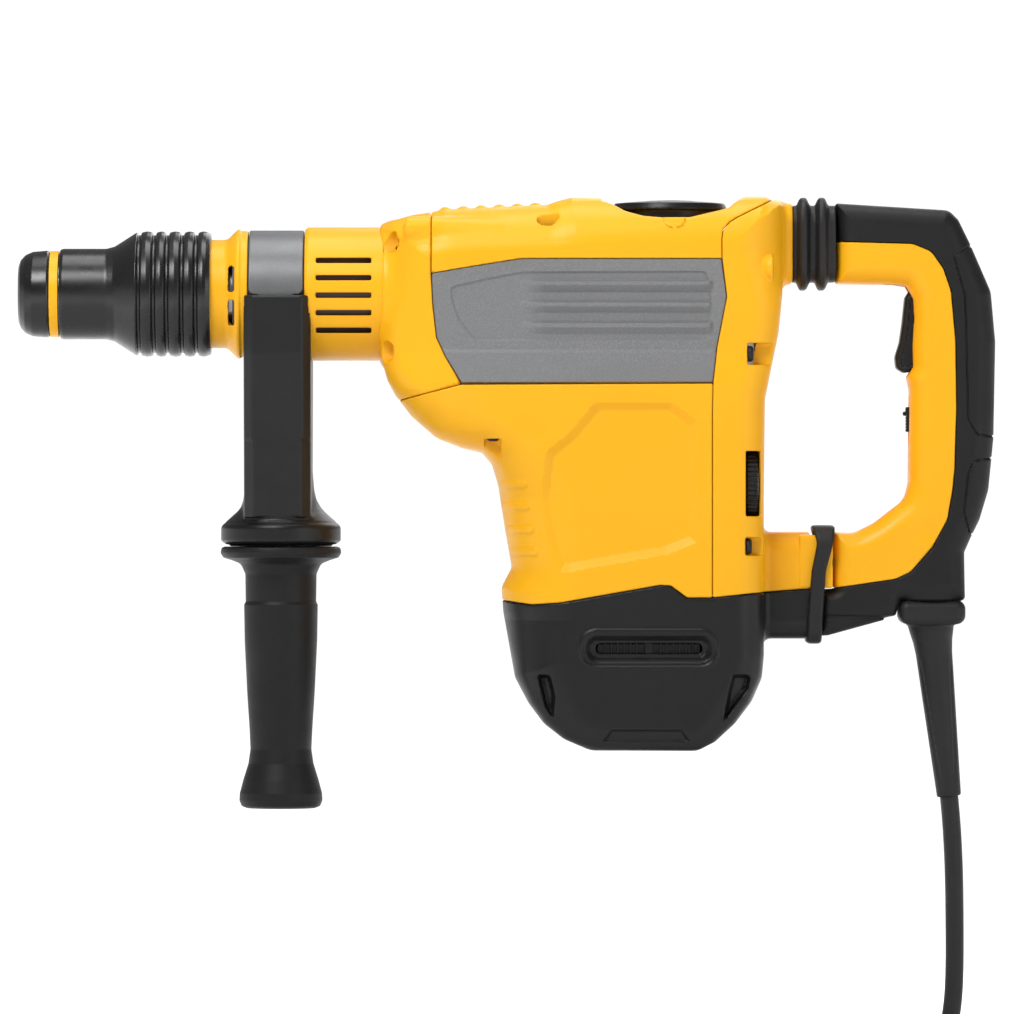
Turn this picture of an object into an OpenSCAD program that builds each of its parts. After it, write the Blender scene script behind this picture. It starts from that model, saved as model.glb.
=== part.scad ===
// L-shaped demolition hammer with an 18 mm slotted-shank tool holder.
// The origin is the middle of the rear grip. +X points to the rear, +Z up,
// and the striking axis runs along X at the height axis_z.

/* [Nose and barrel] */
// Height of the striking axis above the rear grip
axis_z = 59; // [58.5:0.25:59.5]
// Diameter of the tool shank
shank_d = 18; // [17:0.5:18.5]
// Radius of the smooth front of the lock sleeve
sleeve_front_r = 22; // [21:0.25:23]
// Radius of the lock sleeve over its ribs
sleeve_rib_r = 30.5; // [30:0.25:31]
// Number of ribs round the lock sleeve
sleeve_ribs = 6; // [4:1:7]
// How far the lock sleeve slides back
sleeve_travel = 8.5; // [6:0.5:8.5]
// Radius of the barrel sleeve
barrel_r = 32.5; // [32:0.25:33.5]
// Number of cooling slots in each side of the barrel sleeve
barrel_slots = 5; // [3:1:5]

/* [Housing] */
// Width of the housing
body_w = 94; // [94:1:98]
// Wall thickness of the plastic housings
wall = 3; // [2.5:0.1:3]
// Radius of the mode dial
dial_r = 28; // [26:0.5:28]
// Height of the mode dial above its seat
dial_h = 9.2; // [7:0.2:10]

/* [Gears] */
// Module of the spur gears
gear_module = 1; // [0.9:0.05:1]
// Teeth of the motor pinion
pinion_teeth = 10; // [10:2:12]
// Teeth of the crank gear
crank_teeth = 54; // [50:2:54]
// Teeth of the gear on the bevel shaft
bevel_shaft_teeth = 45; // [43:2:45]
// Face width of the spur gears
gear_face = 10; // [7:0.5:10]
// Teeth of the bevel pinion
bevel_pinion_teeth = 10; // [10:2:12]
// Teeth of the bevel ring gear on the spindle
bevel_ring_teeth = 30; // [28:2:30]
// Module of the bevel pair at its outer end
bevel_module = 2; // [1.8:0.1:2]

/* [Striking mechanism] */
// Bore of the cylinder inside the spindle
cylinder_r = 17; // [16:0.5:17]
// Throw of the crank pin
crank_throw = 13.5; // [10:0.5:13.5]
// Length of the connecting rod between centres
rod_len = 52; // [50:0.5:52]
// Length of the striker
striker_len = 52; // [40:1:54]

/* [Handles] */
// Width of the rear handle
handle_w = 35; // [33:0.5:37]
// Largest radius of the side handle's flange
flange_r = 29.5; // [28:0.25:30]
// Radius of the side grip at its waist
grip_waist_r = 14.9; // [14:0.1:16]
// Radius of the side grip's flared end
grip_end_r = 20.3; // [18:0.1:21]

/* [Cord] */
// Diameter of the power cord
cord_d = 9; // [8:0.5:9]

/* [Hidden] */

yellow = "#f9bf1c";
black = "#232426";
grey = "#8c8d8f";
steel = "#b4b8bc";
alu = "#a6a9ab";
eps = 0.02;
fit = 0.05;

// Stations along the striking axis
nose_x = -454.3;
cap_end_x = -439.3;
ring_end_x = -434.3;
sleeve_end_x = -352.1 - sleeve_travel;
collar_x = -342.2;
sleeve_seat_x = -314.6;
front_cover_x = -276;
body_x = -252.8;
rear_seam_x = -113;
rear_face_x = -91.7;
neck_x = -77.2;

// Mechanism axes: the motor, the crank and the bevel shaft stand upright
motor_x = -158;
crank_x = motor_x + gear_module * (pinion_teeth + crank_teeth) / 2;
bevel_x = motor_x - gear_module * (pinion_teeth + bevel_shaft_teeth) / 2;
dial_x = crank_x - 10.9;
dial_seat_z = 95.4;
gear_z = 12;
holder_r = 15;
spindle_r = cylinder_r + 3;
wrist_x = crank_x - crank_throw - rod_len;
piston_x = wrist_x - 18;
handle_x = -326.5;
half_w = body_w / 2;
handle_half = handle_w / 2;
pivot_x = -62;
pivot_z = -72;
isolator_z = 83.3;
trigger_x = -15.4;
trigger_z = 57;

// ---------- helpers ----------
module at_axis(x = 0) { translate([x, 0, axis_z]) rotate([0, 90, 0]) children(); }

// A solid of revolution about the striking axis, from [station, radius] points
module lathe_x(points, facets = 96) {
    at_axis() rotate_extrude($fn = facets) polygon([for (p = points) [p[1], p[0]]]);
}

// A plain tube along the striking axis
module tube_x(x0, x1, r_out, r_in) {
    lathe_x([[x0, r_in], [x1, r_in], [x1, r_out], [x0, r_out]]);
}

// A solid of revolution about an upright axis, from [radius, height] points
module lathe_z(x, points, facets = 72) {
    translate([x, 0, 0]) rotate_extrude($fn = facets) polygon(points);
}

module ring_z(x, z0, z1, r_out, r_in) {
    lathe_z(x, [[r_in, z0], [r_out, z0], [r_out, z1], [r_in, z1]]);
}

// Extrudes an outline in the XZ plane from y0 to y1
module slab_y(y0, y1) {
    translate([0, y1, 0]) rotate([90, 0, 0]) linear_extrude(y1 - y0) children();
}

// A box given by its lowest and highest corners
module block(low, high) { translate(low) cube(high - low); }

// An upright block with round vertical corners
module plan_block(x0, x1, half, z0, z1, r_front, r_rear) {
    translate([0, 0, z0]) linear_extrude(z1 - z0) plan_outline(x0, x1, half, r_front, r_rear);
}

// Exact outline from squares and circles; ra and rb are the front and rear corners
module plan_outline(x0, x1, half, ra, rb) {
    translate([x0 + ra, -half]) square([x1 - x0 - ra - rb, 2 * half]);
    translate([x0, -half + ra]) square([ra + eps, 2 * (half - ra)]);
    translate([x1 - rb - eps, -half + rb]) square([rb + eps, 2 * (half - rb)]);
    for (side = [-1, 1]) {
        translate([x0 + ra, side * (half - ra)]) circle(ra, $fn = 64);
        translate([x1 - rb, side * (half - rb)]) circle(rb, $fn = 64);
    }
}

// A block along X whose section has round top corners
module top_rounded(x0, x1, half, z0, z1, r) {
    translate([x0, 0, 0]) rotate([90, 0, 90]) linear_extrude(x1 - x0) {
        translate([-half, z0]) square([2 * half, z1 - z0 - r]);
        translate([-half + r, z0]) square([2 * (half - r), z1 - z0]);
        for (side = [-1, 1]) translate([side * (half - r), z1 - r]) circle(r, $fn = 64);
    }
}

// Screw along an axis: round head with a hexagonal recess, and a plain shank
module screw(head_r, head_h, shank_r, length) {
    difference() {
        union() {
            cylinder(r = head_r, h = head_h, $fn = 36);
            translate([0, 0, -length]) cylinder(r = shank_r, h = length + eps, $fn = 24);
        }
        translate([0, 0, head_h / 2]) cylinder(r = head_r * 0.55, h = head_h, $fn = 6);
    }
}

// ---------- gear teeth ----------
function involute(a) = tan(a) - a * PI / 180;
pressure = 25;
tip_share = 0.8;
root_share = 1;
slack = 0.16;

// Half of a tooth's angle at radius r, in degrees
function half_tooth(r, pitch_r, n) =
    let (base_r = pitch_r * cos(pressure))
    let (a = acos(min(1, base_r / r)))
    90 / n + (involute(pressure) - involute(a)) * 180 / PI - slack * 90 / (PI * pitch_r);

// Flank radii of a tooth, from its root to its tip
function flank_radii(pitch_r, m) = [for (k = [0:3])
    pitch_r - root_share * m + k / 3 * (root_share + tip_share) * m];

function tooth_points(pitch_r, m, n) =
    let (radii = flank_radii(pitch_r, m))
    concat([for (r = radii) [r, -half_tooth(r, pitch_r, n)]],
        [for (k = [3:-1:0]) [radii[k], half_tooth(radii[k], pitch_r, n)]]);

function gear_outline(pitch_r, m, n) = [for (i = [0:n - 1]) for (p = tooth_points(pitch_r, m, n))
    p[0] * [cos(i * 360 / n + p[1]), sin(i * 360 / n + p[1])]];

module spur_gear(n, face, bore_r, turn = 0) {
    pitch_r = gear_module * n / 2;
    difference() {
        rotate([0, 0, turn]) linear_extrude(face) polygon(gear_outline(pitch_r, gear_module, n));
        if (bore_r > 0) translate([0, 0, -1]) cylinder(r = bore_r, h = face + 2, $fn = 48);
    }
}

// Bevel teeth on the pitch cone of half angle cone, its apex at the origin and its axis +Z.
// Each point of the virtual gear on the back cone is laid on spheres round the apex.
function cone_point(far, cone, lift, turn) = far *
    [sin(cone + lift) * cos(turn), sin(cone + lift) * sin(turn), cos(cone + lift)];

function bevel_ring(far, outer, cone, m, n) =
    let (virtual_r = m * n / 2 / cos(cone))
    let (virtual_n = n / cos(cone))
    [for (i = [0:n - 1]) for (p = tooth_points(virtual_r, m, virtual_n))
        cone_point(far, cone, (p[0] - virtual_r) / outer * 180 / PI, i * 360 / n + p[1] / cos(cone))];

function flat_ring(r, z, like) =
    let (count = len(like), start = atan2(like[0][1], like[0][0]))
    [for (i = [0:count - 1]) [r * cos(start + i * 360 / count), r * sin(start + i * 360 / count), z]];

// back_r and back_z close the gear behind its teeth, bore_r is its hole
module bevel_gear(outer, inner, cone, m, n, back_r, back_z, bore_r, bore_z) {
    rim = bevel_ring(outer, outer, cone, m, n);
    tip = bevel_ring(inner, outer, cone, m, n);
    loops = [tip, rim, flat_ring(back_r, back_z, rim), flat_ring(bore_r, back_z, rim),
        flat_ring(bore_r, bore_z, rim)];
    count = len(rim);
    faces = [for (k = [0:4]) for (i = [0:count - 1])
        let (a = k * count + i, b = k * count + (i + 1) % count)
        let (c = ((k + 1) % 5) * count + i, d = ((k + 1) % 5) * count + (i + 1) % count)
        each [[a, d, b], [a, c, d]]];
    polyhedron(points = [for (l = loops) each l], faces = faces, convexity = 10);
}

// ---------- swept tubes ----------
// Rings of a round tube along points; side is any direction not along the path
function unit(v) = v / norm(v);
function tangent(path, i) =
    unit(path[min(i + 1, len(path) - 1)] - path[max(i - 1, 0)]);
function tube_ring(path, i, r, sides, side) =
    let (t = tangent(path, i), u = unit(cross(t, side)), v = cross(t, u))
    [for (k = [0:sides - 1]) path[i] + r * (cos(k * 360 / sides) * u + sin(k * 360 / sides) * v)];

module swept_tube(path, r, sides, side) {
    rings = len(path);
    points = [for (i = [0:rings - 1]) each tube_ring(path, i, r, sides, side)];
    around = [for (i = [0:rings - 2]) for (k = [0:sides - 1])
        let (a = i * sides + k, b = i * sides + (k + 1) % sides)
        each [[a, a + sides, b + sides], [a, b + sides, b]]];
    first = [[for (k = [0:sides - 1]) k]];
    last = [[for (k = [sides - 1:-1:0]) (rings - 1) * sides + k]];
    polyhedron(points = points, faces = concat(around, first, last), convexity = 10);
}

function helix(r, x0, x1, turns, steps) = [for (i = [0:turns * steps])
    [x0 + (x1 - x0) * i / (turns * steps), r * cos(i * 360 / steps), r * sin(i * 360 / steps)]];

// ---------- nose ----------
module nose_cap() {
    color(black) lathe_x([[nose_x, 9.6], [nose_x, 14], [-453.6, 16.4], [-451.5, 18.8],
        [-448, 20.4], [-443, 21.2], [cap_end_x, 21.2], [cap_end_x, holder_r + eps],
        [-449.2, holder_r + eps], [-449.2, 9.6]]);
}

module accent_ring() {
    color(yellow) lathe_x([[cap_end_x, holder_r + eps], [cap_end_x, 20.5],
        [cap_end_x + 0.5, 21.3], [ring_end_x - 0.5, 21.3], [ring_end_x, 20.5],
        [ring_end_x, holder_r + eps]]);
}

rib_pitch = (sleeve_end_x + 397) / sleeve_ribs;
function rib_profile() = [for (i = [0:sleeve_ribs - 1]) let (x = -397 + i * rib_pitch)
    each [[x, sleeve_rib_r - 0.9], [x + 1.2, sleeve_rib_r - 0.2], [x + rib_pitch / 2, sleeve_rib_r],
        [x + rib_pitch - 1.8, sleeve_rib_r - 0.3], [x + rib_pitch - 1, sleeve_rib_r - 1.6],
        [x + rib_pitch - 0.3, sleeve_rib_r - 1.6]]];

module lock_sleeve() {
    front = ring_end_x + 0.2;
    color(black) lathe_x(concat([[front, 17.6], [front, sleeve_front_r - 0.8],
        [front + 0.8, sleeve_front_r], [-411, sleeve_front_r], [-408, sleeve_front_r + 0.9],
        [-398.4, sleeve_rib_r - 1.4]], rib_profile(), [[sleeve_end_x, sleeve_rib_r - 1.6],
        [sleeve_end_x, 27.4], [-395.5, 27.4], [-402, 20], [-404, 20], [-404, holder_r + 0.08],
        [-412, holder_r + 0.08], [-412, 17.6]]));
}

module sleeve_spring() {
    color(steel) translate([0, 0, axis_z])
        swept_tube(helix(17.3, -403, -388, 4, 18), 0.8, 8, [1, 0, 0]);
}

module tool_holder() {
    color(steel) difference() {
        lathe_x([[-449, shank_d / 2 + fit], [-449, holder_r - 1], [-448, holder_r],
            [-387, holder_r], [-387, 23.4], [-384.1, 23.4], [-384.1, cylinder_r - eps],
            [-362.1, cylinder_r - eps], [-362.1, shank_d / 2 + fit]]);
        for (side = [-1, 1]) block([-425, side * 12 - 4.2, axis_z - 3.6],
            [-408, side * 12 + 4.2, axis_z + 3.6]);
    }
}

module locking_bars() {
    color("#8f9498") for (side = [-1, 1]) intersection() {
        block([-424.9, side * 13 - 3.7, axis_z - 3.5], [-408.1, side * 13 + 3.7, axis_z + 3.5]);
        tube_x(-425, -408, holder_r - 0.1, shank_d / 2 + 0.3);
    }
}

module front_collar() {
    slot_w = 3;
    color(yellow) difference() {
        lathe_x([[-384, 24.2], [-384, 26.4], [-351.6, 26.4], [-350.6, 28.6], [-348, 30.6],
            [-347, 31.2], [collar_x - 0.6, 31.2], [collar_x, 30.6], [collar_x, 28.42],
            [-349.6, 28.42], [-349.6, 24.2]]);
        for (side = [-1, 1]) for (z = [axis_z + 0.3, axis_z - 16.2])
            block([-351.2, side * 27 - 5, z], [-351.2 + slot_w, side * 27 + 5, z + 12.6]);
    }
}

module barrel_tube() {
    color(alu) difference() {
        union() {
            lathe_x([[-349.5, 26], [-349.5, 28.4], [-250.02, 28.4], [-250.02, 26], [-262, 26],
                [-262, 24], [-338, 24], [-338, 26]]);
            intersection() {
                tube_x(-254, -250.1, 36.4, 27);
                block([-255, -33, axis_z - 33], [-250, 33, axis_z + 33]);
            }
        }
        for (a = [45:90:315]) at_axis(-258) rotate([0, 0, a]) translate([32, 0, 0])
            cylinder(r = 2.6, h = 10, $fn = 24);
    }
}

module barrel_sleeve() {
    slot_h = 2.6;
    slot_pitch = 8.5;
    first_z = axis_z - 1.4 - slot_pitch * (barrel_slots - 1) / 2;
    color(yellow) difference() {
        lathe_x([[sleeve_seat_x, 28.45], [sleeve_seat_x, barrel_r - 0.8],
            [sleeve_seat_x + 0.8, barrel_r], [front_cover_x - 0.5, barrel_r],
            [front_cover_x - 0.1, barrel_r - 0.4], [front_cover_x - 0.1, 28.45]]);
        for (side = [-1, 1]) for (k = [0:barrel_slots - 1])
            block([-309, side * 25 - 12, first_z + k * slot_pitch - slot_h / 2],
                [-282, side * 25 + 12, first_z + k * slot_pitch + slot_h / 2]);
    }
}

// ---------- side handle ----------
module clamp_band() {
    color(grey) tube_x(collar_x + 0.5, sleeve_seat_x - 0.5, 31, 28.6);
}

module handle_bracket() {
    color(black) difference() {
        union() {
            translate([-344, 0, 0]) rotate([90, 0, 90]) linear_extrude(31)
                polygon([[-36, axis_z - 1], [36, axis_z - 1], [35, 30], [29, -20], [26, -46],
                    [-26, -46], [-29, -20], [-35, 30]]);
            lathe_z(handle_x, [[0, -40], [19, -36], [24, -48], [flange_r, -51],
                [flange_r, -58], [flange_r - 3, -63.4], [0, -63.4]]);
        }
        at_axis(-345) cylinder(r = 31.7, h = 3.4, $fn = 96);
        at_axis(-342) cylinder(r = 31.04, h = 40, $fn = 96);
        at_axis(sleeve_seat_x - 0.4) cylinder(r = barrel_r + 0.4, h = 5, $fn = 96);
        translate([handle_x, 0, -70]) cylinder(r = 5.2, h = 110, $fn = 48);
    }
}

module clamp_bolt() {
    color(steel) difference() {
        lathe_z(handle_x, [[0, 45], [5, 45], [5, -118], [4.2, -119], [0, -119]], 48);
        at_axis(-345) cylinder(r = 31.06, h = 40, $fn = 96);
    }
}

module grip_core() {
    color("#2c2d30") lathe_z(handle_x, [[5.08, -66], [12, -66], [12, -150], [10, -152],
        [0, -152], [0, -122], [5.08, -122]], 48);
}

module side_grip() {
    color(black) lathe_z(handle_x, [[12.02, -64.2], [flange_r - 1.4, -64.2], [flange_r, -65.6],
        [flange_r, -68.6], [flange_r - 1, -70], [18.5, -74.5], [17.3, -77], [17.3, -91.4],
        [17.9, -92.6], [17.6, -110], [16.4, -135], [15.3, -154], [grip_waist_r, -163],
        [15.6, -169], [18.4, -178], [grip_end_r, -184.5], [grip_end_r, -188],
        [19.4, -190.6], [17.6, -191.8], [0, -191.8], [0, -152.05], [10, -152.05],
        [12.02, -150]]);
}

// ---------- housings ----------
module front_cover() {
    color(yellow) difference() {
        front_cover_form(0);
        front_cover_form(wall);
        at_axis(front_cover_x - 5) cylinder(r = 28.45, h = 12, $fn = 96);
    }
}

// inset 0 is the outside, and wall the hollow, which is open at the back
module front_cover_form(inset) {
    hull() {
        at_axis(front_cover_x + inset) cylinder(r = barrel_r - inset, h = 1, $fn = 32);
        translate([-266, 0, 0]) rotate([90, 0, 90])
            linear_extrude(body_x + 266 + (inset > 0 ? 1 : 0))
            polygon([[-28, 8 + inset], [28, 8 + inset], [39 - inset, 22], [41 - inset, 60],
                [34 - inset, 84], [18, 97 - inset], [-18, 97 - inset], [-34 + inset, 84],
                [-41 + inset, 60], [-39 + inset, 22]]);
    }
}

module gear_cover() {
    color(yellow) difference() {
        union() {
            intersection() {
                top_rounded(body_x + eps, rear_seam_x, 45, 14.7, 105.4, 24);
                slab_y(-50, 50) polygon([[body_x, 14.7], [body_x, 98.5], [-246, 101], [-196, 102],
                    [-191, 104], [-185, 105.4], [rear_seam_x, 105.4], [rear_seam_x, 14.7]]);
            }
            for (side = [-1, 1]) at_axis(body_x + 0.1) rotate([0, 0, side * 38 + 180])
                translate([38, 0, 0]) cylinder(r = 5, h = 34, $fn = 32);
        }
        top_rounded(body_x - 1, rear_seam_x + 1, 45 - wall, 10, dial_seat_z - wall, 21);
        translate([dial_x, 0, dial_seat_z]) cylinder(r = dial_r + 0.6, h = 20, $fn = 96);
        translate([dial_x, 0, 60]) cylinder(r = 6.06, h = 40, $fn = 48);
        for (side = [-1, 1]) slab_y(side * 45 - 0.8, side * 45 + 0.8) panel_outline();
    }
}

module panel_outline() {
    polygon([[-252.5, 68.3], [-209.4, 75.4], [rear_seam_x - 0.3, 75.4], [rear_seam_x - 0.3, 36],
        [-114.7, 32.2], [-116.6, 15.6], [-237.4, 15.6], [-247.7, 32.2], [-251.8, 48.8]]);
}

module side_panel(side) {
    difference() {
        slab_y(min(side * 44.25, side * 46.2), max(side * 44.25, side * 46.2))
            panel_outline();
        for (z = [35, 45, 55]) block([-206, side * 46.2 - 0.6, z], [-118, side * 46.2 + 0.6, z + 4]);
    }
}

module side_panel_left() { color(grey) side_panel(-1); }
module side_panel_right() { color(grey) side_panel(1); }

module motor_outline() {
    polygon([[rear_seam_x - 0.1, 14.6], [body_x, 14.6], [body_x, 7.9], [-268.4, 7.9],
        [-262.5, -1], [-250.8, -11.2], [-238, -16], [-227.4, -18.5], [-223.5, -23.4],
        [-221, -33], [-219.5, -60], [-216.5, -74], [-219.5, -84], [-218, -90.3],
        [-190.6, -91.3], [-142, -82.7], [-137, -83], [-129.3, -88.8], [rear_seam_x - 0.1, -88.8]]);
}

module motor_housing() {
    color(yellow) difference() {
        intersection() {
            slab_y(-60, 60) motor_outline();
            union() {
                plan_block(-222, -100, half_w, -95, -15, 34, 4);
                plan_block(-270, -100, 43, -24, 15, 22, 4);
                plan_block(-240, -100, 45, -24, 15, 16, 4);
            }
        }
        plan_block(-216, -90, half_w - wall, -95, -14.9, 31, 4);
        translate([0, 0, -15]) linear_extrude(31) polygon([[-235, 41.2], [-90, 41.2],
            [-90, -41.2], [-235, -41.2]]);
        translate([0, 0, -3]) linear_extrude(19) polygon([[-245.5, -41.2], [-251.5, -35.2],
            [-251.5, 35.2], [-245.5, 41.2], [-234, 41.2], [-234, -41.2]]);
        screw_bores(screw_seats[2], 3.7, 1.95);
    }
}

// Screws through the flanks: x, z and the distance of the head's seat from the middle plane
screw_seats = [[-100, 29.3, 42.6], [-100, -64, 44.9], [-228, -14, 40.5]];

// A head's pocket outside the seat, and the shank's bore inside it
module screw_bores(seat, head_r, shank_r) {
    for (side = [-1, 1]) translate([seat[0], 0, seat[1]]) rotate([-90 * side, 0, 0]) {
        if (head_r > 0) translate([0, 0, seat[2]]) cylinder(r = head_r, h = 10, $fn = 36);
        translate([0, 0, seat[2] - 5.4]) cylinder(r = shank_r, h = 5.6, $fn = 36);
    }
}

cap_fins = 7;
module motor_cap() {
    color(black) difference() {
        union() {
            intersection() {
                slab_y(-60, 60) polygon([[-219.6, -84.2], [-218, -90.4], [-190.6, -91.4],
                    [-142, -82.8], [-137, -83.1], [-129.3, -88.9], [rear_seam_x, -88.9],
                    [-97.6, -86.8], [rear_face_x, -86], [rear_face_x, -119.6],
                    [-126.9, -162.5], [-175.7, -162.5], [-212.3, -129.8], [-217.5, -100]]);
                plan_block(-219.6, rear_face_x, half_w, -165, -80, 34, 14);
            }
            block([rear_face_x - 0.1, -handle_half, -108.5], [-66, handle_half, -86]);
        }
        difference() {
            intersection() {
                slab_y(-60, 60) polygon([[-215, -70], [-214.5, -101], [-209.5, -128.2],
                    [-174.5, -159.5], [-128, -159.5], [rear_face_x - 3, -118],
                    [rear_face_x - 3, -70]]);
                plan_block(-216.6, rear_face_x - 3, half_w - wall, -160, -70, 31, 11);
            }
            lathe_z(motor_x, [[15.02, -151], [19, -151], [19, -141], [15.02, -141]]);
            ring_z(motor_x, -162, -150.9, 19, 0);
        }
        block([-89, -handle_half + wall, -105.5], [-69, handle_half - wall, -80]);
        for (side = [-1, 1]) for (k = [-cap_fins:cap_fins]) if (k != 0)
            block([-156.6 + k * 3.3 - 1, side * half_w - 4.5, -116.2],
                [-156.6 + k * 3.3 + 1, side * half_w + 4.5, -109.4]);
    }
}

speed_x = -97.4;
speed_y = -26;
speed_z = -33.6;
module rear_cover() {
    color(yellow) difference() {
        union() {
            intersection() {
                slab_y(-60, 60) polygon([[rear_seam_x, -88.7], [rear_seam_x, 95.2], [-108.4, 95.2],
                    [-107.6, 104.5], [-104, 105.9], [-90, 105.9], [-86, 103.2], [-82, 103.1],
                    [-82, 64], [-83, 62], [-83, 51], [-85.4, 36.6], [-89.3, 17], [-90.8, 7],
                    [rear_face_x, -41], [rear_face_x, -85.9], [-97.6, -86.7]]);
                union() {
                    plan_block(rear_seam_x - 5, -80, 45, 14.6, 70, 4.4, 12);
                    plan_block(rear_seam_x - 5, rear_face_x, half_w, -90, 14.7, 4.4, 14);
                    top_rounded(rear_seam_x, -80, 45, 60, 106, 24);
                }
            }
            block([-84, -18, 64], [neck_x, 18, 102.6]);
            block([rear_face_x - 4, -handle_half, -84.6], [-70, handle_half, -57]);
            for (side = [-1, 1]) block([-71, side * 13.6 - 3.8, -83], [-57.6, side * 13.6 + 3.8, -58.5]);
        }
        plan_block(rear_seam_x - 9, -94.7, half_w - wall, -100, 14, 4, 9);
        plan_block(rear_seam_x - 9, -94.7, 41, 13.9, 70, 4, 9);
        top_rounded(rear_seam_x - 5, -94.7, 42, 50, 92.4, 21);
        block([-90, -handle_half + wall, -90], [-72.8, handle_half - wall, -60]);
        at_x_hole(-100, -70, isolator_z, 4.02);
        translate([pivot_x, 0, pivot_z]) rotate([90, 0, 0])
            cylinder(r = 4.01, h = 60, center = true, $fn = 48);
        block([-101, -60, -49.4], [-93.8, -30, -17.8]);
        for (i = [0, 1]) screw_bores(screw_seats[i], 3.7, 1.95);
        at_x_hole(-95, -91.85, isolator_z, 8.2);
        translate([-96, speed_y, speed_z]) rotate([0, 90, 0]) cylinder(r = 17.6, h = 2.2, $fn = 72);
    }
}

module at_x_hole(x0, x1, z, r) {
    translate([x0, 0, z]) rotate([0, 90, 0]) cylinder(r = r, h = x1 - x0, $fn = 48);
}

module housing_screws() {
    color(steel) {
        for (side = [-1, 1]) for (seat = screw_seats)
            translate([seat[0], side * seat[2], seat[1]]) rotate([-90 * side, 0, 0])
                screw(3.4, 2, 1.9, 5);
        for (a = [45:90:315]) at_axis(-254) rotate([0, 0, a]) translate([32, 0, 0])
            rotate([180, 0, 0]) screw(3.4, 3, 2.5, 9);
    }
}

// ---------- gear case ----------
case_half = 40;
plate_z = 23.5;
module gear_case() {
    color(alu) difference() {
        plan_block(-250, -95, case_half, 0, 86, 8, 8);
        plan_block(-245, -97, case_half - 4, 8, 90, 5, 5);
        at_axis(-255) cylinder(r = 26, h = 12, $fn = 96);
        translate([motor_x, 0, -1]) cylinder(r = 14.02, h = 12, $fn = 72);
        translate([crank_x, 0, -1]) cylinder(r = 11.02, h = 12, $fn = 72);
        translate([bevel_x, 0, -1]) cylinder(r = 9.52, h = 12, $fn = 72);
        for (a = [45:90:315]) at_axis(-252) rotate([0, 0, a]) translate([32, 0, 0])
            cylinder(r = 2.6, h = 10, $fn = 24);
        for (side = [-1, 1]) translate([-250, side * 40, 86]) rotate([0, 90, 0])
            cylinder(r = 9, h = 160, $fn = 48);
        screw_bores(screw_seats[0], 0, 1.95);
    }
}

module gear_case_lid() {
    color(alu) difference() {
        plan_block(-246, -97.5, 30.9, 86.02, 89, 6, 6);
        at_axis(-216) cylinder(r = 33, h = 32, $fn = 96);
        translate([dial_x, 0, 80]) cylinder(r = 6.06, h = 20, $fn = 48);
    }
}

module bearing_plate() {
    color(alu) difference() {
        union() {
            plan_block(-205, -97.1, case_half - 4.1, plate_z, plate_z + 3, 1, 5);
            ring_z(crank_x, plate_z, 35, 16, 5);
        }
        translate([crank_x, 0, 20]) cylinder(r = 13.02, h = 20, $fn = 72);
        translate([bevel_x, 0, 20]) cylinder(r = 9.52, h = 20, $fn = 72);
    }
}

module bearings() {
    color(steel) {
        tube_x(-349.4, -346.1, 25.98, spindle_r + 0.3);
        tube_x(-346, -338.05, 25.98, spindle_r + fit);
        tube_x(-261.95, -252, 25.98, spindle_r + fit);
        ring_z(motor_x, 0, 7.9, 14, 6 + fit);
        ring_z(crank_x, 0, 7.9, 11, 5 + fit);
        ring_z(bevel_x, 0, 7.9, 9.5, 5 + fit);
        ring_z(crank_x, 26, 35, 13, 6 + fit);
        ring_z(bevel_x, plate_z, plate_z + 3, 9.5, 5 + fit);
        ring_z(motor_x, -150, -142, 15, 5 + fit);
    }
}

// ---------- spindle ----------
module spindle_tube() {
    color(steel) difference() {
        tube_x(-384, -168, spindle_r, cylinder_r);
        for (a = [0:60:300]) at_axis(-228) rotate([0, 0, a]) rotate([0, 90, 0])
            cylinder(r = 1.5, h = 30, $fn = 20);
    }
}

ring_pitch_r = bevel_module * bevel_ring_teeth / 2;
pinion_pitch_r = bevel_module * bevel_pinion_teeth / 2;
cone_outer = norm([ring_pitch_r, pinion_pitch_r]);
cone_inner = cone_outer * 0.73;
ring_cone = atan(ring_pitch_r / pinion_pitch_r);

module bevel_ring_gear() {
    color("#9a9da1") {
        translate([bevel_x, 0, axis_z]) rotate([0, -90, 0]) rotate([0, 0, 180 / bevel_ring_teeth])
            bevel_gear(cone_outer, cone_inner, ring_cone, bevel_module, bevel_ring_teeth,
                27, 16, spindle_r + eps, 9.5);
        tube_x(-209, bevel_x - 16.05, 25, spindle_r + eps);
    }
}

module bevel_shaft() {
    color("#9a9da1") {
        translate([bevel_x, 0, axis_z]) rotate([180, 0, 0])
            bevel_gear(cone_outer, cone_inner, 90 - ring_cone, bevel_module,
                bevel_pinion_teeth, 6.5, 31.6, 2, 22.9);
        lathe_z(bevel_x, [[0, 0.5], [5, 0.5], [5, gear_z - 0.5], [7, gear_z - 0.5],
            [7, gear_z + eps], [5, gear_z + eps], [5, 28], [0, 28]], 48);
        translate([bevel_x, 0, 27.5]) cylinder(r = 2, h = 8.6, $fn = 24);
        translate([bevel_x, 0, gear_z]) spur_gear(bevel_shaft_teeth, gear_face, 4.9,
            180 / bevel_shaft_teeth);
    }
}

// ---------- crank ----------
pin_x = crank_x - crank_throw;
module crankshaft() {
    color(steel) {
        lathe_z(crank_x, [[0, 0.5], [5, 0.5], [5, 8.5], [6, 9], [6, 40], [19, 40], [19, 50], [0, 50]]);
        ring_z(pin_x, 49.9, 54.6, 6, 0);
    }
}

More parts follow.
